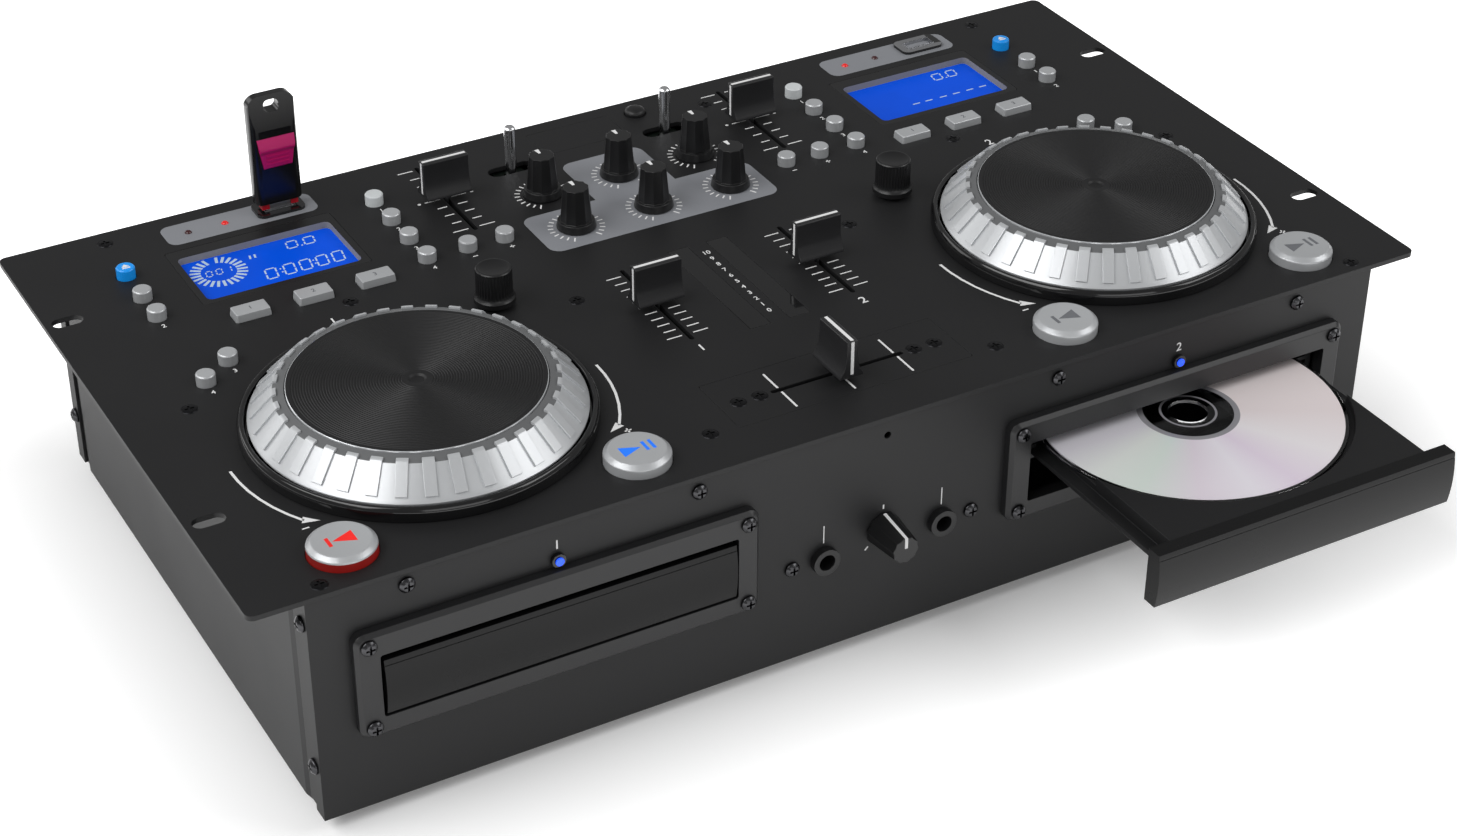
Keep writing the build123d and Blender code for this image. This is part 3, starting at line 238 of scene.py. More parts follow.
def screen_ink(name, colour, roughness=0.5):
    # Screen printed epoxy ink, about 20 microns thick, matt, with a fine mesh mark.
    material, tree, shader = new_surface(name, colour, roughness)
    grain(tree, shader, 0.3, 0.002, colour, 0.03, roughness, 0.03)
    return material


def lit_plastic(name, colour, strength, roughness=0.2, shine=0.5):
    # Translucent lens, key, mark or display with a lamp behind it: brighter in patches
    # a few centimetres across, where the light guide is nearer.
    material, tree, shader = new_surface(
        name, colour, roughness, Emission_Strength=strength, Specular_IOR_Level=shine
    )
    grain(tree, shader, 0.4, 0.001, colour, 0.12, roughness, 0.03)
    glow = shader.inputs["Base Color"].links[0].from_socket
    tree.links.new(glow, shader.inputs["Emission Color"])
    return material


def clear_polycarbonate():
    # The disc's unmetallised hub and rim: clear, with a faint grey cast.
    return new_surface(
        "clear_polycarbonate", srgb("#e4e6e8"), 0.03, IOR=1.58, Transmission_Weight=1.0
    )[0]


def metallised_disc():
    # Polycarbonate over a sputtered mirror. The broad pale bands of hue that its tracks, 1.6 microns
    # apart, throw back are painted into the colour by angle round the disc: painted reflection, lightest
    # on the right.
    colour = srgb("#efecf0")
    material, tree, shader = new_surface("metallised_disc", colour, 0.3, Metallic=0.12, Anisotropic=0.6)
    place = put(tree, "ShaderNodeTexCoord").outputs["Object"]
    shift = put(
        tree, "ShaderNodeVectorMath", {"operation": "SUBTRACT"}, {1: disc_centre()}, {0: place}
    )
    parts = put(tree, "ShaderNodeSeparateXYZ", feeds={"Vector": shift.outputs["Vector"]})
    angle = put(
        tree, "ShaderNodeMath", {"operation": "ARCTAN2"},
        feeds={0: parts.outputs["Y"], 1: parts.outputs["X"]},
    ).outputs["Value"]
    sweep = put(
        tree, "ShaderNodeMapRange",
        sockets={"From Min": -math.pi, "From Max": math.pi}, feeds={"Value": angle},
    ).outputs["Result"]
    ramp = put(tree, "ShaderNodeValToRGB", feeds={"Fac": sweep})
    # painted reflection: hues and a light band, fixed round the disc by angle
    painted_reflection_stops = (
        (0.00, "#dedbe2"), (0.05, "#e4e8e4"), (0.10, "#dce6df"), (0.16, "#e6dce6"), (0.22, "#efeaf2"),
        (0.27, "#e8dbea"), (0.34, "#f2edf0"), (0.42, "#efe4e5"), (0.50, "#f6ebeb"), (0.58, "#faf2f2"),
        (0.68, "#efebf1"), (0.80, "#dddfe4"), (1.00, "#dedbe2"),
    )
    while len(ramp.color_ramp.elements) < len(painted_reflection_stops):
        ramp.color_ramp.elements.new(0.5)
    for element, (position, code) in zip(ramp.color_ramp.elements, painted_reflection_stops):
        element.position = position
        element.color = (*srgb(code), 1)
    tree.links.new(ramp.outputs["Color"], shader.inputs["Base Color"])
    radial = put(tree, "ShaderNodeTangent", {"direction_type": "RADIAL", "axis": "Z"})
    tree.links.new(radial.outputs["Tangent"], shader.inputs["Tangent"])
    return material


def disc_centre():
    low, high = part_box("disc_b")
    return Vector([(a + b) / 2 for a, b in zip(low, high)])


FINISHES = {}


def make_finishes(colours):
    """Every finish of the console, by its plain name."""
    plastic = tuple(colours.plastic)
    silver = tuple(colours.silver)
    FINISHES.update(
        coat=powder_coated_steel(tuple(colours.coat)),
        satin=moulded_abs("moulded_abs_satin", plastic, 0.42),
        gloss=moulded_abs("moulded_abs_polished", shade(plastic, 0.7), 0.1, 0.5, 0.001, 0.5),
        fascia=moulded_abs("moulded_abs_drawer_front", shade(plastic, 0.45), 0.28, 0.4, 0.002, 0.2),
        # the bezels' black is lightened 1.5 times to stand for their reflected sheen: painted sheen
        bezel=moulded_abs("moulded_abs_bezel_painted_sheen", shade(plastic, 1.5), 0.4),
        tray=moulded_abs("moulded_abs_tray", shade(plastic, 1.1), 0.48, shine=0.3),
        knob=moulded_abs("moulded_abs_knob", shade(plastic, 0.9), 0.34),
        cap=moulded_abs("moulded_abs_fader_cap", shade(plastic, 1.9), 0.3),
        jog_top=moulded_abs("turned_abs_jog_top", shade(plastic, 0.95), 0.5, 0.3, 0.002, 0.35),
        skirt=lacquered_abs("lacquered_abs_skirt", shade(silver, 1.15), 0.3, 0.35),
        rim=lacquered_abs("lacquered_abs_rim", shade(silver, 0.3), 0.5, 0.2),
        # bright, partly metallic silver on the jog top's edge chamfer: a painted highlight
        ring=lacquered_abs("bright_edge_painted_highlight", shade(silver, 1.5), 0.22, 0.6),
        key=lacquered_abs("lacquered_abs_key", shade(silver, 1.02), 0.34, 0.35),
        hub_band=lacquered_abs("frosted_hub_band", srgb("#9c9ba0"), 0.3, 0.2),
        key_lit=lit_plastic("lit_key_white", srgb("#c8cccd"), 0.1, 0.35),
        eject=lit_plastic("moulded_eject_blue", tuple(colours.eject), 0.12, 0.3),
        chrome=plated_metal("chromed_brass", srgb("#e4e5e7"), 0.2),
        zinc=plated_metal("zinc_plated_steel", srgb("#b4b5b8"), 0.28),
        black_screw=plated_metal("blackened_steel_screw", srgb("#48484a"), 0.26),
        flush_screw=plated_metal("blackened_flush_screw", srgb("#2a2a2c"), 0.3),
        white_ink=screen_ink("white_screen_ink", tuple(colours.ink)),
        silver_ink=screen_ink("silver_screen_ink", tuple(colours.grey_ink), 0.42),
        red_ink=lit_plastic("lit_red_mark", srgb("#c81912"), 0.6, 0.4),
        blue_ink=lit_plastic("lit_blue_mark", srgb("#1767d8"), 0.6, 0.4),
        dark_ink=screen_ink("grey_screen_ink", srgb("#6a6c70")),
        backlight=lit_plastic("lit_display_blue", tuple(colours.backlight), 0.6, 0.35, 0.1),
        lit_segment=lit_plastic("lit_display_segment", srgb("#a9bccf"), 0.25, 0.4),
        recess=moulded_abs("moulded_display_frame", srgb("#8d8b83"), 0.5),
        window=moulded_abs("smoked_acrylic_window", srgb("#111112"), 0.06, 0.5, 0.0005),
        red_lamp=lit_plastic("red_lamp_lit", srgb("#b41410"), 0.7),
        red_skirt=lit_plastic("lit_red_skirt", srgb("#861612"), 0.2, 0.3),
        dark_lamp=lit_plastic("red_lamp_off", srgb("#3c1014"), 0.0),
        blue_lamp=lit_plastic("blue_lamp_lit", srgb("#1b49e0"), 1.3),
        stick=moulded_abs("moulded_stick_black", srgb("#0c0c0d"), 0.2, 0.4, 0.001),
        slider=moulded_abs("moulded_stick_slider", tuple(colours.slider), 0.25, 0.4, 0.001),
        red_plastic=moulded_abs("moulded_stick_carrier", srgb("#b01222"), 0.3),
        rubber=moulded_abs("moulded_rubber", srgb("#161616"), 0.75, 0.6, 0.02),
        board=moulded_abs("solder_masked_board", srgb("#0b130e"), 0.45, 1.2, 0.01),
        clear=clear_polycarbonate(),
        mirror=metallised_disc(),
    )


# ---------------------------------------------------------------- mesh helpers
def link(thing):
    """Puts an object in the scene, and hands it back."""
    bpy.context.scene.collection.objects.link(thing)
    return thing


def piece(name, mesh, finishes, body, replaces=(), flat=False):
    """Wraps a mesh as a finished piece that rides on a body."""
    thing = link(bpy.data.objects.new(name, mesh))
    for finish in finishes:
        mesh.materials.append(FINISHES[finish])
    if not flat:
        shading = thing.modifiers.new("even shading", "WEIGHTED_NORMAL")
        shading.keep_sharp = True
    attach(thing, body)
    if replaces:
        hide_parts(*replaces)
    return thing


def in_place_of(node, mesh, finishes):
    """A finished piece that takes a node's place and body; the node is hidden."""
    return piece(node + "_finish", mesh, finishes, frame["nodes"][node]["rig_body"], (node,))


def mesh_of(bm, name, sharp_deg=40):
    """Turns a bmesh into a smooth mesh with sharp edges where it bends more."""
    bmesh.ops.recalc_face_normals(bm, faces=bm.faces)
    mesh = bpy.data.meshes.new(name)
    bm.to_mesh(mesh)
    bm.free()
    mesh.polygons.foreach_set("use_smooth", [True] * len(mesh.polygons))
    mesh.set_sharp_from_angle(angle=math.radians(sharp_deg))
    return mesh


def carve(mesh, cutter_bm):
    """The mesh less the closed shapes in a bmesh."""
    cutter = link(bpy.data.objects.new("cutter", mesh_of(cutter_bm, "cutter")))
    blank = link(bpy.data.objects.new("blank", mesh))
    cut = blank.modifiers.new("cut", "BOOLEAN")
    cut.object = cutter
    cut.solver = "EXACT"
    bpy.context.view_layer.update()
    result = bpy.data.meshes.new_from_object(blank.evaluated_get(bpy.context.evaluated_depsgraph_get()))
    for thing in (cutter, blank):
        bpy.data.objects.remove(thing)
    result.polygons.foreach_set("use_smooth", [True] * len(result.polygons))
    result.set_sharp_from_angle(angle=math.radians(30))
    return result


def dress(node, finishes, edge_mm, paint=None, segments=2, turn_deg=28, cut=None):
    """A node's own shape with rounded edges; paint picks a finish from a face's middle
    in mm from the plate's front edge and from its normal."""
    bm = bmesh.new()
    bm.from_mesh(frame["nodes"][node].data)
    bmesh.ops.remove_doubles(bm, verts=bm.verts, dist=2e-6)
    bmesh.ops.dissolve_limit(
        bm, angle_limit=math.radians(0.6), verts=bm.verts, edges=bm.edges, delimit={"NORMAL"}
    )
    limit = math.radians(turn_deg)
    corners = [e for e in bm.edges if e.is_manifold and e.calc_face_angle(0) > limit]
    if edge_mm:
        bmesh.ops.bevel(
            bm, geom=corners, offset=edge_mm * MM, offset_type="OFFSET", segments=segments,
            profile=0.5, affect="EDGES", clamp_overlap=True,
        )
    if paint:
        for face in bm.faces:
            middle = face.calc_center_median() / MM
            middle.y += PLATE_MID_Y
            face.material_index = paint(middle, face.normal)
    mesh = mesh_of(bm, node)
    if cut:
        mesh = carve(mesh, cut)
    return in_place_of(node, mesh, finishes)


def prism(bm, points, low, high, place=spot):
    """A closed flat-sided block over a plan outline, in mm."""
    lower = [bm.verts.new(place(x, y, low)) for x, y in points]
    upper = [bm.verts.new(place(x, y, high)) for x, y in points]
    bm.faces.new(upper)
    bm.faces.new(lower[::-1])
    for i in range(len(points)):
        j = (i + 1) % len(points)
        bm.faces.new((lower[i], lower[j], upper[j], upper[i]))


def on_front(x, y, z):
    """Plan y runs up the front panel, and height grows towards the user."""
    return spot(x, PANEL_Y - z, y)


def bar(bm, x0, y0, x1, y1, width, low=0.0, high=INK, place=spot):
    """A straight line of one width between two points."""
    along = Vector((x1 - x0, y1 - y0)).normalized() * (width / 2)
    across = Vector((-along.y, along.x))
    points = [
        (x0 + across.x, y0 + across.y), (x0 - across.x, y0 - across.y),
        (x1 - across.x, y1 - across.y), (x1 + across.x, y1 + across.y),
    ]
    prism(bm, points, low, high, place)


def ring_part(bm, cx, cy, r0, r1, a0, a1):
    """Printed part of a ring between two radii and two angles in degrees."""
    steps = int(abs(a1 - a0) / 5)
    angles = [math.radians(a0 + (a1 - a0) * i / steps) for i in range(steps + 1)]
    outer = [(cx + r1 * math.cos(a), cy + r1 * math.sin(a)) for a in angles]
    inner = [(cx + r0 * math.cos(a), cy + r0 * math.sin(a)) for a in angles]
    for i in range(steps):
        prism(bm, [outer[i], outer[i + 1], inner[i + 1], inner[i]], 0.0, INK)


def dot(bm, x, y, r, low=0.0, high=INK, sides=14):
    points = [
        (x + r * math.cos(2 * math.pi * i / sides), y + r * math.sin(2 * math.pi * i / sides))
        for i in range(sides)
    ]
    prism(bm, points, low, high)


def rounded(cx, cy, w, d, r):
    """Corner-rounded rectangle outline."""
    points = []
    steps = 5
    for sx, sy, start in ((1, 1, 0), (-1, 1, 90), (-1, -1, 180), (1, -1, 270)):
        for i in range(steps + 1):
            a = math.radians(start + 90 * i / steps)
            x = cx + sx * (w / 2 - r) + r * math.cos(a)
            y = cy + sy * (d / 2 - r) + r * math.sin(a)
            points.append((x, y))
    return points


def lathe(bm, outline, sides, centre, ripple=None):
    """Turns radius and height pairs, in mm, about the vertical at a place."""
    rings = []
    for r, z in outline:
        ring = []
        for i in range(sides):
            a = 2 * math.pi * i / sides
            grow = ripple(i, r, z) if ripple else 0
            x = (r + grow) * math.cos(a)
            y = (r + grow) * math.sin(a)
            ring.append(bm.verts.new(centre + Vector((x, y, z)) * MM))
            if r == 0:
                break
        rings.append(ring)
    for below, above in zip(rings, rings[1:]):
        for i in range(sides):
            j = (i + 1) % sides
            if len(below) == 1:
                bm.faces.new((below[0], above[j], above[i]))
            elif len(above) == 1:
                bm.faces.new((below[i], below[j], above[0]))
            else:
                bm.faces.new((below[i], below[j], above[j], above[i]))


def numeral(bm, text, x, y, height, low=0.0, high=INK, place=spot):
    """Digits or signs in the plain built-in face, as a closed low relief."""
    curve = bpy.data.curves.new("numeral", "FONT")
    curve.body = text
    curve.size = height / 0.7  # a digit is 0.7 of the face's size
    curve.align_x = "CENTER"
    curve.align_y = "CENTER"
    curve.extrude = 0.5
    curve.offset = height * 0.012
    thing = link(bpy.data.objects.new("numeral", curve))
    bpy.context.view_layer.update()
    mesh = bpy.data.meshes.new_from_object(thing.evaluated_get(bpy.context.evaluated_depsgraph_get()))
    for vertex in mesh.vertices:
        z = high if vertex.co.z > 0 else low
        vertex.co = place(x + vertex.co.x, y + vertex.co.y, z)
    bm.from_mesh(mesh)
    bpy.data.objects.remove(thing)
    bpy.data.curves.remove(curve)
    bpy.data.meshes.remove(mesh)


def ink_piece(name, bm, finish, body="case"):
    """A print, a mark or a line, flat shaded."""
    return piece(name, mesh_of(bm, name, 20), [finish], body, flat=True)


def repaint(node, finish):
    """A new finish on a node that keeps its own plain shape."""
    materials = frame["nodes"][node].data.materials
    materials.clear()
    materials.append(FINISHES[finish])


# ------------------------------------- places, in mm from the plate's front edge
JOG_X, JOG_Y = 145.0, 79.5
CUE_X, PLAY_X, BIG_Y = (-200.2, 89.7), (-89.9, 200.2), 19.1
EJECT_XY = ((-202.3, 223.7), (199.9, 226.6))
SOURCE_KEYS = (((-202.3, 205.2), (-202.3, 189.6)), ((200.3, 206.9), (200.3, 191.3)))
JOG_KEYS = (((-190.4, 147.8), (-202.6, 138.0)), ((189.2, 147.1), (201.3, 137.1)))
MODE_X, MODE_Y = (-96.5, 97.0), (230.9, 213.9, 197.0, 180.0)
BEND_X, BEND_Y = ((-79.2, -63.4), (63.8, 79.6)), 180.0
LOOP_X, LOOP_Y = ((-170.9, -145.6, -120.3), (121.4, 146.5, 171.8)), 175.0
PITCH_X, PITCH_Y = (-70.1, 70.2), 220.7
CHANNEL_X, CHANNEL_Y = (-35.0, 34.6), 107.8
CROSS_Y = 34.0
KNOBS = [(x, y) for y in (175.0, 204.8) for x in (-34.7, -0.2, 34.8)]
SCREEN_XY = ((-149.7, 209.25), (149.7, 209.25))
SOURCE_X, SOURCE_Y = (-148.2, 152.2), 244.55
ENCODERS = ((-88.0, 137.4), (88.0, 137.4))
PANEL_Y = 1.5  # the front panel's outer face
REAR_Y = 257.0
CASE_HALF = 221.25
DRIVE_X = 130.0
BEZEL_Y = -3.0
CUE_LEVEL_X, CUE_LEVEL_Z = 0.9, -49.5
JACK_X = (-24.2, 26.1)
PHONO_Z = -34.0
USB_X, USB_Y = tuple(x + 16.7 for x in SOURCE_X), 245.5
USB_SHELL_HALF, STICK_SHELL_HALF = (6.6, 2.86), (6.04, 2.3)
BIG_KEY_TOP, EJECT_TOP, LOOP_TOP = 5.0, 4.4, 2.9
LIT_SKIRT_TOP = 1.6
KNOB_TOP = 17.8
FADER_STEM_TOP = 2.9
STICK_FACE_Y = 240.8
FRONT_SCREWS = (
    *((x, -7.5, PANEL_Y) for x in (-185.4, -75.2, 75.2, 185.4)),
    *((x, -54.3, PANEL_Y) for x in (-37.4, 39.2)),
    *((x + dx, z, BEZEL_Y) for x in (-DRIVE_X, DRIVE_X) for dx in (-72.1, 72.1) for z in (-24.7, -58.8)),
)
FLUSH_SCREWS = (
    (-201, 251.4), (201, 251.4), (-214, 124.5), (214, 124.5), (-214, 5.5), (214, 5.5), (-60, 124.5),
    (60, 124.5), (-60, 21), (60, 21), (-135, 165), (135, 165), (-60, 242), (60, 242),
    (-41.4, 33.9), (-32.6, 33.9), (32.6, 33.9), (41.4, 33.9),
)
SIDE_SCREWS = [(x, y, z) for x in (-CASE_HALF, CASE_HALF) for y in (6.0, 253.0) for z in (-13.5, -74.0)]

# printed scales: step, and how far each line reaches from the slot's middle
PITCH_STEP, PITCH_LINES = 6.7, (9.0, 6.4, 6.4, 6.4, 9.0, 6.4, 6.4, 6.4, 9.0)
CHANNEL_STEP, CHANNEL_LINES = 4.87, (8.6, *[7.4] * 9, 8.6)
UNDER_KEY = 7.2  # from a round key's middle down to its number

# displays: the lit face, and the height, width and line of their figures
LCD_Z = -3.0
METER_HALF = 20.0  # the meter's window ends this far from the middle
TRACK_FIGURE, TIME_FIGURE, PITCH_FIGURE = (4.0, 2.3, 0.5), (7.4, 4.3, 0.62), (5.2, 4.2, 0.62)
SEGMENTS = {"0": "abcdef", "1": "bc", "-": "g"}

# ---------------------------------------------------------------- stage, in m
FLOOR_HALF = 6.0
PAINTED_SHADE_HALF = (0.22, 0.13, 1.0)  # inside this the floor's glow is least: painted shade round the console
PAINTED_SHADE_FADE = 0.15  # this far past it the painted shade has faded and the floor is plain white
PAINTED_SHADE_GLOW = 0.12  # the floor's own glow inside it, which sets how deep the painted shade is
LAMPS = (  # name, place, width, height and power in W
    ("key_softbox", (-1.58, -0.05, 1.62), 2.2, 1.2, 34),
    ("right_softbox", (1.5, -0.97, 1.38), 1.5, 0.9, 14),
    ("front_softbox", (-0.3, -2.3, 0.8), 1.6, 0.8, 6),
    ("rear_softbox", (-1.2, 1.7, 0.8), 1.2, 0.8, 5),
)
# the photograph's camera: lens, place in mm from the plate's front edge, and its axes
LENS = 71.62
CAMERA_AT = (-470.97, -718.29, 564.79)
CAMERA_RIGHT = (0.87162467, -0.49015854, 0.00387919)
CAMERA_DOWN = (-0.26710919, -0.48159298, -0.83469808)
CAMERA_AHEAD = (0.41100258, 0.72650726, -0.55069418)


# ---------------------------------------------------------------- operators
class ConsoleOperator(bpy.types.Operator):
    """Base of the console's steps"""

    bl_options = {"REGISTER", "UNDO"}

    def execute(self, context):
        self.make(context.scene.console_sizes)
        return {"FINISHED"}


class MakeStage(ConsoleOperator):
    """Builds the floor, the lamps, the world and the photograph's camera"""

    bl_idname = "console.make_stage"
    bl_label = "Stage"

    def make(self, sizes):
        floor_z = CAD_BOX[0][2]
        bm = bmesh.new()
        corners = ((-1, -1), (1, -1), (1, 1), (-1, 1))
        bm.faces.new([bm.verts.new((x * FLOOR_HALF, y * FLOOR_HALF, floor_z)) for x, y in corners])
        mesh = bpy.data.meshes.new("floor")
        bm.to_mesh(mesh)
        bm.free()
        floor = link(bpy.data.objects.new("floor", mesh))
        mesh.materials.append(self.paper())
        self.world()
        for lamp in LAMPS:
            self.lamp(*lamp)
        self.camera()

    def paper(self):
        """White studio paper that glows to the camera: little glow near the console, which paints shade
        round it on top of the lamps' shadows, and plain white further out.
        """
        material, tree, shader = new_surface("studio_paper", srgb("#f4f4f4"), 0.9)
        seen = any_ray(tree, "Camera", "Glossy", "Transmission")
        place = put(tree, "ShaderNodeTexCoord").outputs["Object"]
        folded = put(tree, "ShaderNodeVectorMath", {"operation": "ABSOLUTE"}, feeds={0: place})
        past = put(
            tree, "ShaderNodeVectorMath", {"operation": "SUBTRACT"}, {1: PAINTED_SHADE_HALF},
            {0: folded.outputs["Vector"]},
        )
        past = put(
            tree, "ShaderNodeVectorMath", {"operation": "MAXIMUM"}, {1: (0, 0, 0)},
            {0: past.outputs["Vector"]},
        )
        reach = put(
            tree, "ShaderNodeVectorMath", {"operation": "LENGTH"}, feeds={0: past.outputs["Vector"]}
        )
        far = put(
            tree, "ShaderNodeMapRange",
            sockets={"From Max": PAINTED_SHADE_FADE, "To Min": PAINTED_SHADE_GLOW, "To Max": 1.0},
            feeds={"Value": reach.outputs["Value"]},
        ).outputs["Result"]
        # the glow is least near the console: painted shade
        lift = put(tree, "ShaderNodeMath", {"operation": "MULTIPLY"}, feeds={0: seen, 1: far})
        glow = put(
            tree, "ShaderNodeEmission",
            sockets={"Color": (1, 1, 1, 1)}, feeds={"Strength": lift.outputs[0]},
        )
        both = put(tree, "ShaderNodeAddShader", feeds={0: shader.outputs[0], 1: glow.outputs[0]})
        tree.links.new(both.outputs[0], tree.nodes["Material Output"].inputs["Surface"])
        return material

    def world(self):
        """Plain white to the camera, a soft even light to everything else."""
        world = bpy.data.worlds.new("studio")
        bpy.context.scene.world = world
        world.use_nodes = True
        tree = world.node_tree
        seen = any_ray(tree, "Camera", "Transmission")
        soft = put(tree, "ShaderNodeBackground", sockets={"Color": (1, 1, 1, 1), "Strength": 0.3})
        white = put(tree, "ShaderNodeBackground", sockets={"Color": (1, 1, 1, 1), "Strength": 1.0})
        feeds = {0: seen, 1: soft.outputs[0], 2: white.outputs[0]}
        mix = put(tree, "ShaderNodeMixShader", feeds=feeds)
        tree.links.new(mix.outputs[0], tree.nodes["World Output"].inputs["Surface"])

    def lamp(self, name, place, width, height, power):
        """A softbox that faces the console; sizes in m, power in W."""
        data = bpy.data.lights.new(name, "AREA")
        data.shape = "RECTANGLE"
        data.size = width
        data.size_y = height
        data.energy = power
        thing = link(bpy.data.objects.new(name, data))
        thing.location = place
        thing.rotation_euler = (-Vector(place)).to_track_quat("-Z", "Y").to_euler()

    def camera(self):
        """The camera fitted to the photograph."""
        data = bpy.data.cameras.new("camera")
        data.lens = LENS
        data.sensor_width = 36.0
        data.clip_start = 0.01
        thing = link(bpy.data.objects.new("camera", data))
        turn = Matrix((Vector(CAMERA_RIGHT), -Vector(CAMERA_DOWN), -Vector(CAMERA_AHEAD))).transposed()
        thing.matrix_world = Matrix.Translation(spot(*CAMERA_AT)) @ turn.to_4x4()
        bpy.context.scene.camera = thing
        bpy.context.scene.view_settings.view_transform = "Standard"


class MakeFinishes(ConsoleOperator):
    """Makes every material of the console"""

    bl_idname = "console.make_finishes"
    bl_label = "Materials"

    def make(self, sizes):
        make_finishes(bpy.context.scene.console_colours)


class MakeCase(ConsoleOperator):
    """Coats the folded steel and finishes what is fixed to it"""

    bl_idname = "console.make_case"
    bl_label = "Case"

    def make(self, sizes):
        for node in ("top_plate", "front_panel", "chassis", "rear_panel", "inset_plates"):
            repaint(node, "coat")
        for node in ("control_board", "power_supply"):
            repaint(node, "board")
        repaint("loader_frames", "tray")
        dress("feet", ["rubber"], 0.6)
        dress("drive_bezels", ["bezel"], 0.5, segments=3)
        dress(
            "sockets", ["knob", "zinc"], 0.2,
            lambda p, n: int(p.y > REAR_Y and abs(p.z - PHONO_Z) < 7),
        )


class MakeDrives(ConsoleOperator):
    """Makes the trays, the drawer fronts and the disc"""

    bl_idname = "console.make_drives"
    bl_label = "Disc drives"

    def make(self, sizes):
        for side in "ab":
            dress(f"tray_{side}", ["tray"], 0.3)
            dress(f"fascia_{side}", ["fascia"], 0.5, segments=3)
        self.disc()

    def disc(self):
        """The disc: clear hub with a moulded groove and a frosted band, mirror, clear rim."""
        centre = disc_centre()
        low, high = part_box("disc_b")
        half = (high[2] - low[2]) / 2 / MM
        outline = [
            (7.5, -half), (7.5, half - 0.1), (7.6, half), (9.9, half), (10.1, half - 0.12),
            (11.0, half - 0.12), (11.3, half), (16.6, half), (17.2, half), (19.3, half),
            (19.5, half - 0.03), (22.8, half - 0.03), (23.0, half), (58.2, half), (58.5, half),
            (59.85, half), (60.0, half - 0.15), (60.0, -half + 0.15), (59.85, -half), (58.5, -half),
            (23.0, -half),
        ]
        bm = bmesh.new()
        lathe(bm, outline, 128, centre)
        bmesh.ops.bridge_loops(bm, edges=[e for e in bm.edges if e.is_boundary])
        for face in bm.faces:
            r = (face.calc_center_median() - centre).xy.length / MM
            if 19.4 < r < 58.4:
                face.material_index = 1
            elif 17.1 < r < 19.4 or 10.1 < r < 11.1:
                face.material_index = 2
        in_place_of("disc_b", mesh_of(bm, "disc"), ["clear", "mirror", "hub_band"])


class MakeJogs(ConsoleOperator):
    """Makes the jog wheels: base ring, ribbed skirt and grooved top"""

    bl_idname = "console.make_jogs"
    bl_label = "Jog wheels"

    def make(self, sizes):
        dress("jog_bases", ["gloss"], 0.4, segments=3)
        for side, x in (("a", -JOG_X), ("b", JOG_X)):
            self.skirt(side, x)
            self.top(side, x, sizes.groove / MM)

    def skirt(self, side, x):
        """The silver cone: satin rim, smooth slope and a ring of proud grip ribs."""
        outline = [
            (46.5, 14.3), (48.8, 14.3), (57.9, 4.5), (58.1, 4.4), (60.1, 4.4), (60.2, 4.5), (60.2, 5.1),
            (59.5, 5.9), (50.7, 15.29), (50.4, 15.52), (46.7, 16.45), (46.5, 16.4), (46.5, 14.3),
        ]
        bm = bmesh.new()
        lathe(bm, outline, 180, Vector((0, 0, 0)))
        bmesh.ops.remove_doubles(bm, verts=bm.verts, dist=1e-6)
        for face in bm.faces:
            middle = face.calc_center_median() / MM
            face.material_index = int(middle.xy.length < 50.6 and middle.z > 14.4)
        profile = [(58.2, 6.35), (59.24, 7.28), (50.9, 16.17), (50.3, 16.5), (49.2, 16.7), (49.2, 15.3)]
        ribs, half = 36, 2.15
        for i in range(ribs):
            rib = bmesh.new()
            prism(rib, profile, -half, half, lambda r, z, t: Vector((r, t, z)) * MM)
            bmesh.ops.bevel(rib, geom=rib.edges, offset=0.16 * MM, segments=2, profile=0.5, affect="EDGES")
            turn = Matrix.Rotation(math.radians(360 / ribs * i), 3, "Z")
            bmesh.ops.rotate(rib, verts=rib.verts, matrix=turn)
            block = bpy.data.meshes.new("rib")
            rib.to_mesh(block)
            rib.free()
            bm.from_mesh(block)
            bpy.data.meshes.remove(block)
        bmesh.ops.translate(bm, verts=bm.verts, vec=spot(x, JOG_Y, 0))
        in_place_of(f"jog_skirt_{side}", mesh_of(bm, "jog_skirt", 25), ["skirt", "rim"])

    def top(self, side, x, pitch):
        """The black top: turned grooves, a centre dimple, and a bright silver edge chamfer that paints the
        edge's highlight.
        """
        face_z, groove_z = 17.0, 16.78
        first_groove, last_groove = 44.3, 4.2
        outline = [
            (0, -6), (4.95, -6), (4.95, 7), (12, 7), (12, 12.9), (48.4, 12.9), (48.4, 14.3), (46.2, 14.3),
            (46.2, 15.8), (46.2, 16.6), (46.12, 16.86), (45.88, face_z), (45.5, face_z), (44.6, face_z),
        ]
        r = first_groove
        while r - pitch > last_groove:
            outline += [(r, face_z), (r - pitch * 0.28, groove_z), (r - pitch * 0.56, face_z)]
            r -= pitch
        outline += [(3.6, face_z), (3.3, 16.9), (2.6, 16.3), (1.4, 16.05), (0, 16.0)]
        bm = bmesh.new()
        lathe(bm, outline, 128, spot(x, JOG_Y, 0))
        for face in bm.faces:
            middle = face.calc_center_median() - spot(x, JOG_Y, 0)
            # the edge chamfer takes the bright finish: painted highlight
            face.material_index = int(middle.xy.length > 45.7 * MM and middle.z > 15.9 * MM)
        in_place_of(f"jog_top_{side}", mesh_of(bm, "jog_top", 22), ["jog_top", "ring"])


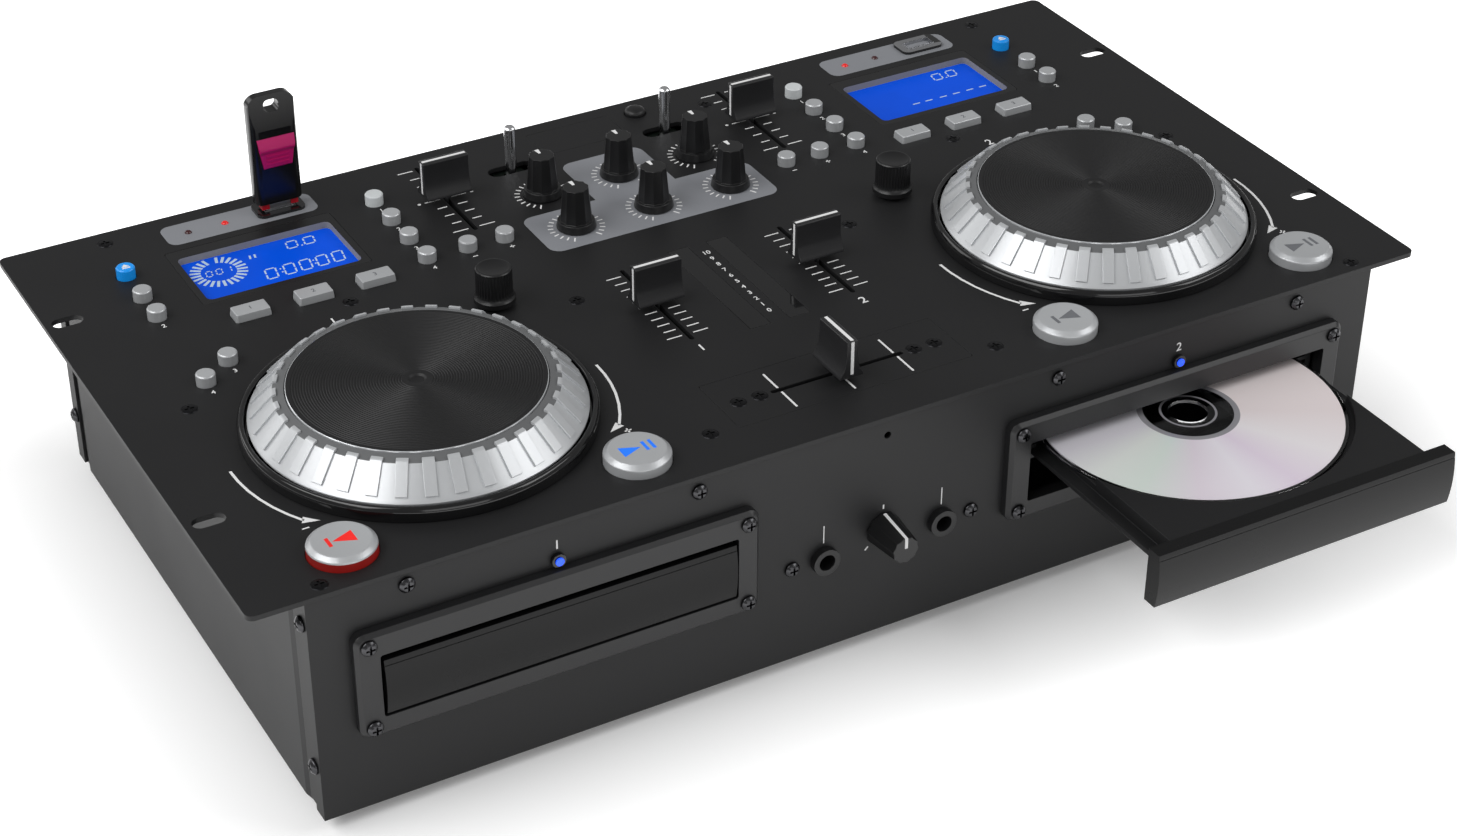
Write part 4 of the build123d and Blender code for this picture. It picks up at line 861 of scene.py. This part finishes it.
class MakeKeys(ConsoleOperator):
    """Makes the push keys and the marks on them"""

    bl_idname = "console.make_keys"
    bl_label = "Keys"

    def make(self, sizes):
        edge = sizes.edge / MM
        for deck, side in enumerate("ab"):
            dress(
                f"cue_button_{side}", ["key", "red_skirt"], edge,
                lambda p, n, lit=(deck == 0): int(lit and p.z < LIT_SKIRT_TOP), 3,
            )
            for keys in ("play_button", "loop_keys", "source_and_jog_keys", "pitch_bend_keys"):
                dress(f"{keys}_{side}", ["key"], edge, segments=3)
            dress(
                f"mode_keys_{side}", ["key", "key_lit"], edge,
                lambda p, n: int(p.y > MODE_Y[0] - 6), 3,
            )
            dress(f"eject_button_{side}", ["eject"], edge, segments=3)
            self.marks(deck, side)
        dress("dome_button", ["satin"], 0.2)

    def marks(self, deck, side):
        """Plain transport symbols, and numbers on the loop keys; one deck's are lit."""
        top = BIG_KEY_TOP
        bm = bmesh.new()
        x, y = CUE_X[deck], BIG_Y
        bar(bm, x - 4.6, y - 2.6, x - 4.6, y + 2.6, 1.3, top, top + INK)
        prism(bm, [(x - 3.2, y), (x + 4.6, y - 3.2), (x + 4.6, y + 3.2)], top, top + INK)
        ink_piece(f"cue_mark_{side}", bm, "red_ink" if deck == 0 else "dark_ink", f"cue_{side}")
        bm = bmesh.new()
        x = PLAY_X[deck]
        prism(bm, [(x - 6.2, y - 3.0), (x + 1.2, y), (x - 6.2, y + 3.0)], top, top + INK)
        for dx in (3.0, 5.6):
            bar(bm, x + dx, y - 2.8, x + dx, y + 2.8, 1.2, top, top + INK)
        ink_piece(f"play_mark_{side}", bm, "blue_ink" if deck == 0 else "dark_ink", f"play_{side}")
        bm = bmesh.new()
        x, y = EJECT_XY[deck]
        top = EJECT_TOP
        prism(bm, [(x - 1.6, y - 0.5), (x + 1.6, y - 0.5), (x, y + 1.6)], top, top + INK)
        bar(bm, x - 1.6, y - 1.3, x + 1.6, y - 1.3, 0.7, top, top + INK)
        ink_piece(f"eject_mark_{side}", bm, "white_ink", f"eject_{side}")
        bm = bmesh.new()
        top = LOOP_TOP
        for i, x in enumerate(LOOP_X[deck]):
            numeral(bm, str(i + 1), x, LOOP_Y, 2.2, top, top + INK)
        ink_piece(f"loop_marks_{side}", bm, "dark_ink", f"loop_bank_{side}")


class MakeMixer(ConsoleOperator):
    """Makes the knobs, the faders, the encoders and the toggles"""

    bl_idname = "console.make_mixer"
    bl_label = "Mixer controls"

    def make(self, sizes):
        for i, (x, y) in enumerate(KNOBS):
            node = f"mixer_knob_{i + 1}"
            dress(node, ["knob"], 0.3, turn_deg=20)
            bm = bmesh.new()
            wedge = [(x - 0.5, y + 1.4), (x + 0.5, y + 1.4), (x + 0.9, y + 4.7), (x - 0.9, y + 4.7)]
            prism(bm, wedge, KNOB_TOP - 0.1, KNOB_TOP + INK)
            ink_piece(f"{node}_pointer", bm, "white_ink", f"knob_{i + 1}")
        self.cue_level()
        for side, (x, y), pitch_x in zip("ab", ENCODERS, PITCH_X):
            self.encoder(side, x, y, sizes.knurl / MM)
            dress(f"toggle_lever_{side}", ["chrome"], 0.25, segments=3)
            self.fader(f"pitch_fader_{side}", f"pitch_{side}", pitch_x, PITCH_Y, False)
        for i, x in enumerate(CHANNEL_X, 1):
            self.fader(f"channel_fader_{i}", f"channel_{i}", x, CHANNEL_Y, False)
        self.fader("crossfader", "cross", 0.0, CROSS_Y, True)

    def cue_level(self):
        """The front panel's knob, its line running along the grip and down the face."""
        dress("cue_level_knob", ["knob"], 0.3, turn_deg=20)
        bm = bmesh.new()
        side = [(1.0, 6.2), (15.9, 4.8), (16.05, 1.0), (16.15, 1.0), (16.15, 5.3), (1.0, 7.1)]
        prism(bm, side, -0.6, 0.6, lambda h, up, t: on_front(CUE_LEVEL_X + t, CUE_LEVEL_Z + up, h))
        ink_piece("cue_level_pointer", bm, "white_ink", "cue_level")

    def encoder(self, side, x, y, knurl):
        """A push encoder's knob: collar, knurled grip and dished top."""
        outline = [
            (3.05, 1.6), (7.8, 1.6), (8.0, 1.8), (8.0, 3.7), (7.8, 4.0), (7.3, 4.6), (7.1, 5.2),
            (7.05, 6.4), (6.98, 14.6), (6.9, 15.5), (6.6, 15.9), (6.2, 16.0), (5.7, 15.9), (5.2, 15.5),
            (3.0, 15.1), (0, 15.0),
        ]

        def ripple(i, r, z):
            on_grip = 6.0 < z < 15.0 and r > 6.9
            return -knurl * (0.5 + 0.5 * math.cos(i * math.pi / 2)) if on_grip else 0

        bm = bmesh.new()
        lathe(bm, outline, 144, spot(x, y, 0), ripple)
        bmesh.ops.holes_fill(bm, edges=[e for e in bm.edges if e.is_boundary])
        in_place_of(f"encoder_knob_{side}", mesh_of(bm, "encoder", 30), ["knob"])
        repaint(f"encoder_shaft_{side}", "zinc")

    def fader(self, node, body, x, y, along_y):
        """The cap and its white centre line, over the ridge and down both ends."""
        dress(node, ["cap", "zinc"], 0.3, lambda p, n: int(p.z < FADER_STEM_TOP), 3)

        def place(a, z, t):
            return spot(x + t, y + a, z) if along_y else spot(x + a, y + t, z)

        outer = [(-9.82, 4.4), (-9.82, 17.9), (-9.3, 18.56), (9.3, 18.56), (9.82, 17.9), (9.82, 4.4)]
        inner = [(9.7, 4.4), (9.7, 17.8), (9.25, 18.4), (-9.25, 18.4), (-9.7, 17.8), (-9.7, 4.4)]
        outline, half = outer + inner, 0.65
        bm = bmesh.new()
        near = [bm.verts.new(place(a, z, -half)) for a, z in outline]
        far = [bm.verts.new(place(a, z, half)) for a, z in outline]
        count = len(outline)
        for i in range(count):
            j = (i + 1) % count
            bm.faces.new((near[i], near[j], far[j], far[i]))
        for i in range(len(outer) - 1):
            for ring in (near, far):
                bm.faces.new((ring[i], ring[i + 1], ring[count - 2 - i], ring[count - 1 - i]))
        ink_piece(f"{node}_stripe", bm, "white_ink", body)


class MakeDisplays(ConsoleOperator):
    """Makes the lit displays, the meter windows and the lamps"""

    bl_idname = "console.make_displays"
    bl_label = "Displays and lamps"

    def make(self, sizes):
        def face(p, n):
            if abs(p.x) < METER_HALF:
                return 2
            if n.z > 0.9:
                return int(abs(p.z - LCD_Z) < 0.2)
            return 3 if LCD_Z < p.z < -0.1 else 0

        dress("display_and_meter_windows", ["satin", "backlight", "window", "recess"], 0.12, face)
        for deck, (x, y) in enumerate(SCREEN_XY):
            bm = bmesh.new()
            cells = (-1.6, 5.9, 12.5, 19.4, 26.0) if deck == 0 else (-7.7, -1.4, 5.9, 12.5, 19.4, 26.0)
            if deck == 0:
                self.ring(bm, x - 18.9, y + 5.5)
                for dx, text in ((-22.8, "0"), (-18.7, "0"), (-15.0, "1")):
                    self.digit(bm, text, x + dx, y + 5.6, *TRACK_FIGURE)
                for dx in (-4.6, -2.6):
                    bar(bm, x + dx, y + 8.9, x + dx + 0.5, y + 11.4, 0.8, LCD_Z, LCD_Z + INK)
                for dx in (2.6, 16.2):
                    for dy in (-6.4, -3.8):
                        dot(bm, x + dx, y + dy, 0.4, LCD_Z, LCD_Z + INK, sides=8)
            for dx in cells:
                self.digit(bm, "0" if deck == 0 else "-", x + dx, y - 5.4, *TIME_FIGURE)
            for dx in (13.6, 20.8):
                self.digit(bm, "0", x + dx, y + 11.6, *PITCH_FIGURE)
            dot(bm, x + 17.0, y + 9.2, 0.4, LCD_Z, LCD_Z + INK, sides=8)
            ink_piece(f"display_segments_{'ab'[deck]}", bm, "lit_segment")
        self.lamps()

    def ring(self, bm, x, y):
        """Round progress bar of short radial bars with a gap at the top."""
        inner, outer, places = 7.0, 11.2, 25
        for i in range(1, places):
            a = math.radians(90 + i * 360 / places)
            c, s = math.cos(a), math.sin(a)
            bar(bm, x + inner * c, y + inner * s, x + outer * c, y + outer * s, 1.15, LCD_Z, LCD_Z + INK)

    def digit(self, bm, character, x, y, high, wide, line):
        """One seven-part figure about its middle, leaning to the right."""
        w, h = wide / 2, high / 2
        end_gap, lean = 0.42, 0.16
        ends = {
            "a": (-w, h, w, h), "b": (w, 0, w, h), "c": (w, -h, w, 0), "d": (-w, -h, w, -h),
            "e": (-w, -h, -w, 0), "f": (-w, 0, -w, h), "g": (-w, 0, w, 0),
        }
        for name in SEGMENTS[character]:
            ax, ay, bx, by = ends[name]
            gap = Vector((bx - ax, by - ay)).normalized() * end_gap
            ax, ay, bx, by = ax + gap.x, ay + gap.y, bx - gap.x, by - gap.y
            bar(bm, x + ax + ay * lean, y + ay, x + bx + by * lean, y + by, line, LCD_Z, LCD_Z + INK)

    def lamps(self):
        """The drives' blue lamps, and the source fields' red ones, lit or not."""
        lit = (SOURCE_X[0] - 6.3, SOURCE_X[1] - 21.5)

        def pick(p, n):
            if p.y < PLATE_MID_Y:
                return int(p.y < -0.2)
            return 2 if min(abs(p.x - x) for x in lit) < 3 else 3

        dress("indicator_leds", ["gloss", "blue_lamp", "red_lamp", "dark_lamp"], 0.25, pick, 3)


class MakeSockets(ConsoleOperator):
    """Makes the memory sockets, the stick and the rear rocker"""

    bl_idname = "console.make_sockets"
    bl_label = "Sockets and stick"

    def make(self, sizes):
        def in_shell(p, n):
            beside, before = min(abs(p.x - x) for x in USB_X), abs(p.y - USB_Y)
            on_rim = n.z > 0.9 and beside < 0.5 and before < 0.5
            return int(not on_rim and beside < USB_SHELL_HALF[0] and before < USB_SHELL_HALF[1])

        dress("usb_sockets", ["gloss", "zinc"], 0.15, in_shell)

        def stick(p, n):
            if p.z > 4.75:
                return int(p.y < 241.45)
            beside, before = abs(p.x - USB_X[0]), abs(p.y - USB_Y)
            return 3 if beside > STICK_SHELL_HALF[0] or before > STICK_SHELL_HALF[1] else 2

        dress("usb_stick", ["stick", "slider", "zinc", "red_plastic"], 0.35, stick, 3)
        bm = bmesh.new()
        back = PANEL_Y - STICK_FACE_Y
        for z in (22.8, 24.5, 26.2):
            bar(bm, USB_X[0] - 4.6, z, USB_X[0] + 4.6, z, 0.6, back, back + 0.5, on_front)
        ink_piece("stick_slider_grips", bm, "slider")
        dress("power_rocker", ["gloss"], 0.4)


class MakeScrews(ConsoleOperator):
    """Makes the screw heads with their cross recesses"""

    bl_idname = "console.make_screws"
    bl_label = "Screws"

    def make(self, sizes):
        arm, floor, past_head = 1.7, 0.9, 4.0
        cutter = bmesh.new()
        for x, z, y in FRONT_SCREWS:
            self.cross(
                cutter, arm, floor, past_head,
                lambda a, b, h, x=x, z=z, y=y: spot(x + a, y - h, z + b),
            )
        for x, y, z in SIDE_SCREWS:
            self.cross(
                cutter, arm, floor, past_head,
                lambda a, b, h, x=x, y=y, z=z: spot(x + math.copysign(h, x), y + a, z + b),
            )
        dress("screws", ["black_screw"], 0.25, segments=2, cut=cutter)
        radius = sizes.screw / MM / 2
        heads, cutter = bmesh.new(), bmesh.new()
        for x, y in FLUSH_SCREWS:
            self.flush(heads, x, y, radius)
            self.cross(cutter, radius * 0.62, 0.06, 2.0, lambda a, b, h, x=x, y=y: spot(x + a, y + b, h))
        piece("flush_screws", carve(mesh_of(heads, "flush_screws", 30), cutter), ["flush_screw"], "case")

    def flush(self, bm, x, y, r):
        """A countersunk head: rim and shallow dome just proud of the plate."""
        outline = [(r + 0.35, 0.0), (r + 0.25, 0.1), (r, 0.04), (r - 0.1, 0.18), (r * 0.8, 0.3), (0, 0.34)]
        lathe(bm, outline, 24, spot(x, y, 0))
        bmesh.ops.holes_fill(bm, edges=[e for e in bm.edges if e.is_boundary])

    def cross(self, bm, arm, low, high, place):
        """A cross-shaped plug that cuts the driver's recess."""
        w = 0.4  # half an arm's width
        corners = [(w, arm), (-w, arm), (-w, w), (-arm, w), (-arm, -w), (-w, -w)]
        prism(bm, corners + [(-x, -y) for x, y in corners], low, high, place)


class MakePrint(ConsoleOperator):
    """Prints the scales, numbers, silver fields and jog arcs"""

    bl_idname = "console.make_print"
    bl_label = "Printing"

    def make(self, sizes):
        self.white()
        self.silver()

    def silver(self):
        """The silver fields under the knobs and round the memory sockets."""
        bm = bmesh.new()
        prism(bm, rounded(-1.0, 175.3, 102.0, 30.0, 5.0), 0, 0.03)
        prism(bm, rounded(-0.35, 204.0, 36.1, 38.0, 5.0), 0, 0.035)
        for x in SOURCE_X:
            prism(bm, rounded(x, SOURCE_Y, 62.5, 15.5, 4.0), 0, 0.03)
        ink_piece("silver_fields", bm, "silver_ink")

    def white(self):
        """Scales, arrows and numbers on the plate, then those on the front panel."""
        bm = bmesh.new()
        for x in PITCH_X:
            self.scale(bm, x, PITCH_Y, PITCH_STEP, PITCH_LINES)
            for side in (-1, 1):
                dot(bm, x + side * 11.4, PITCH_Y, 0.7)
        for x in CHANNEL_X:
            self.scale(bm, x, CHANNEL_Y, CHANNEL_STEP, CHANNEL_LINES)
        for x in (-24.4, 0.0, 24.6):
            bar(bm, x, 21.5, x, 32.5, 0.8)
            bar(bm, x, 35.3, x, 45.7, 0.8)
        for x, y in KNOBS:
            for i in range(21):
                a = math.radians(-60 + i * 15)
                c, s = math.cos(a), math.sin(a)
                far = 12.0 if i in (0, 10, 20) else 11.4
                bar(bm, x + 9.2 * c, y + 9.2 * s, x + far * c, y + far * s, 0.6, high=INK + 0.04)
        for side in (-1, 1):
            for jog in (-JOG_X, JOG_X):
                self.arc(bm, jog, side)
        self.numbers(bm)
        ink_piece("white_print", bm, "white_ink")
        bm = bmesh.new()
        for text, x in (("1", -130.2), ("2", 130.2)):
            numeral(bm, text, x, -11.0, 3.6, 0.0, INK, on_front)
        for x in JACK_X:
            bar(bm, x, -40.0, x, -47.5, 0.4, 0.0, INK, on_front)
        x, z = CUE_LEVEL_X, CUE_LEVEL_Z
        for ax, az, bx, bz in ((0, 8.6, 0, 10.4), (-6.1, -6.1, -7.4, -7.4), (6.1, -6.1, 7.4, -7.4)):
            bar(bm, x + ax, z + az, x + bx, z + bz, 0.6, 0.0, INK, on_front)
        ink_piece("front_print", bm, "white_ink")

    def scale(self, bm, x, y, step, lines):
        """Lines on both sides of a fader's slot, from one end of it to the other."""
        middle = (len(lines) - 1) / 2
        for i, reach in enumerate(lines):
            line_y = y + (i - middle) * step
            for side in (-1, 1):
                bar(bm, x + side * 2.4, line_y, x + side * reach, line_y, 0.55)

    def arc(self, bm, jog, side):
        """Curved arrow beside a jog wheel, from its waist towards the user."""
        start, end = (179.0, 212.5) if side < 0 else (1.0, -32.5)
        ring_part(bm, jog, JOG_Y, 70.2, 71.2, start, end)
        head = [(60.9, -39.2), (54.8, -40.6), (59.2, -35.9), (60.0, -37.6)]
        points = [(jog + side * x, JOG_Y + y) for x, y in head]
        prism(bm, points, 0, INK)
        x, y = jog + side * 60.8, JOG_Y - 42.5
        bar(bm, x - 1.3, y, x + 1.3, y, 0.6)
        if side > 0:
            bar(bm, x, y - 1.3, x, y + 1.3, 0.6)

    def numbers(self, bm):
        """The faders' scale, the channels, the decks and the round keys."""
        for i in range(11):
            numeral(bm, str(i), 0.0, 83.5 + i * CHANNEL_STEP, 2.4)
        for text, x in zip("12", CHANNEL_X):
            numeral(bm, text, x, 72.5, 4.2)
        for text, x in (("1", -146.0), ("2", 146.5)):
            numeral(bm, text, x, 155.0, 4.2)
        for deck in (0, 1):
            for i, y in enumerate(MODE_Y):
                numeral(bm, str(i + 1), MODE_X[deck], y - UNDER_KEY, 2.3)
            for i, (x, y) in enumerate(SOURCE_KEYS[deck] + JOG_KEYS[deck]):
                numeral(bm, str(i + 1), x, y - UNDER_KEY, 2.3)
            for x, sign in zip(BEND_X[deck], (-1, 1)):
                bar(bm, x - 1.0, BEND_Y - 6.8, x + 1.0, BEND_Y - 6.8, 0.5)
                if sign > 0:
                    bar(bm, x, BEND_Y - 7.8, x, BEND_Y - 5.8, 0.5)


class CONSOLE_PT_panel(bpy.types.Panel):
    """Lists the console's colours, sizes and steps"""

    bl_idname = "CONSOLE_PT_panel"
    bl_label = "Disc Console"
    bl_space_type = "VIEW_3D"
    bl_region_type = "UI"
    bl_category = "Disc Console"

    def draw(self, context):
        for group in (context.scene.console_colours, context.scene.console_sizes):
            box = self.layout.box()
            for name in group.__annotations__:
                box.prop(group, name)
        for step in STEPS:
            self.layout.operator(step.bl_idname)


STEPS = (
    MakeStage, MakeFinishes, MakeCase, MakeDrives, MakeJogs, MakeKeys, MakeMixer, MakeDisplays,
    MakeSockets, MakeScrews, MakePrint,
)
CLASSES = (ConsoleColours, ConsoleSizes, *STEPS, CONSOLE_PT_panel)


def register():
    for item in CLASSES:
        bpy.utils.register_class(item)
    bpy.types.Scene.console_colours = PointerProperty(type=ConsoleColours)
    bpy.types.Scene.console_sizes = PointerProperty(type=ConsoleSizes)


def unregister():
    del bpy.types.Scene.console_sizes
    del bpy.types.Scene.console_colours
    for item in reversed(CLASSES):
        bpy.utils.unregister_class(item)


def main():
    register()
    for step in STEPS:
        group, name = step.bl_idname.split(".")
        getattr(getattr(bpy.ops, group), name)()


if __name__ == "__main__":
    main()
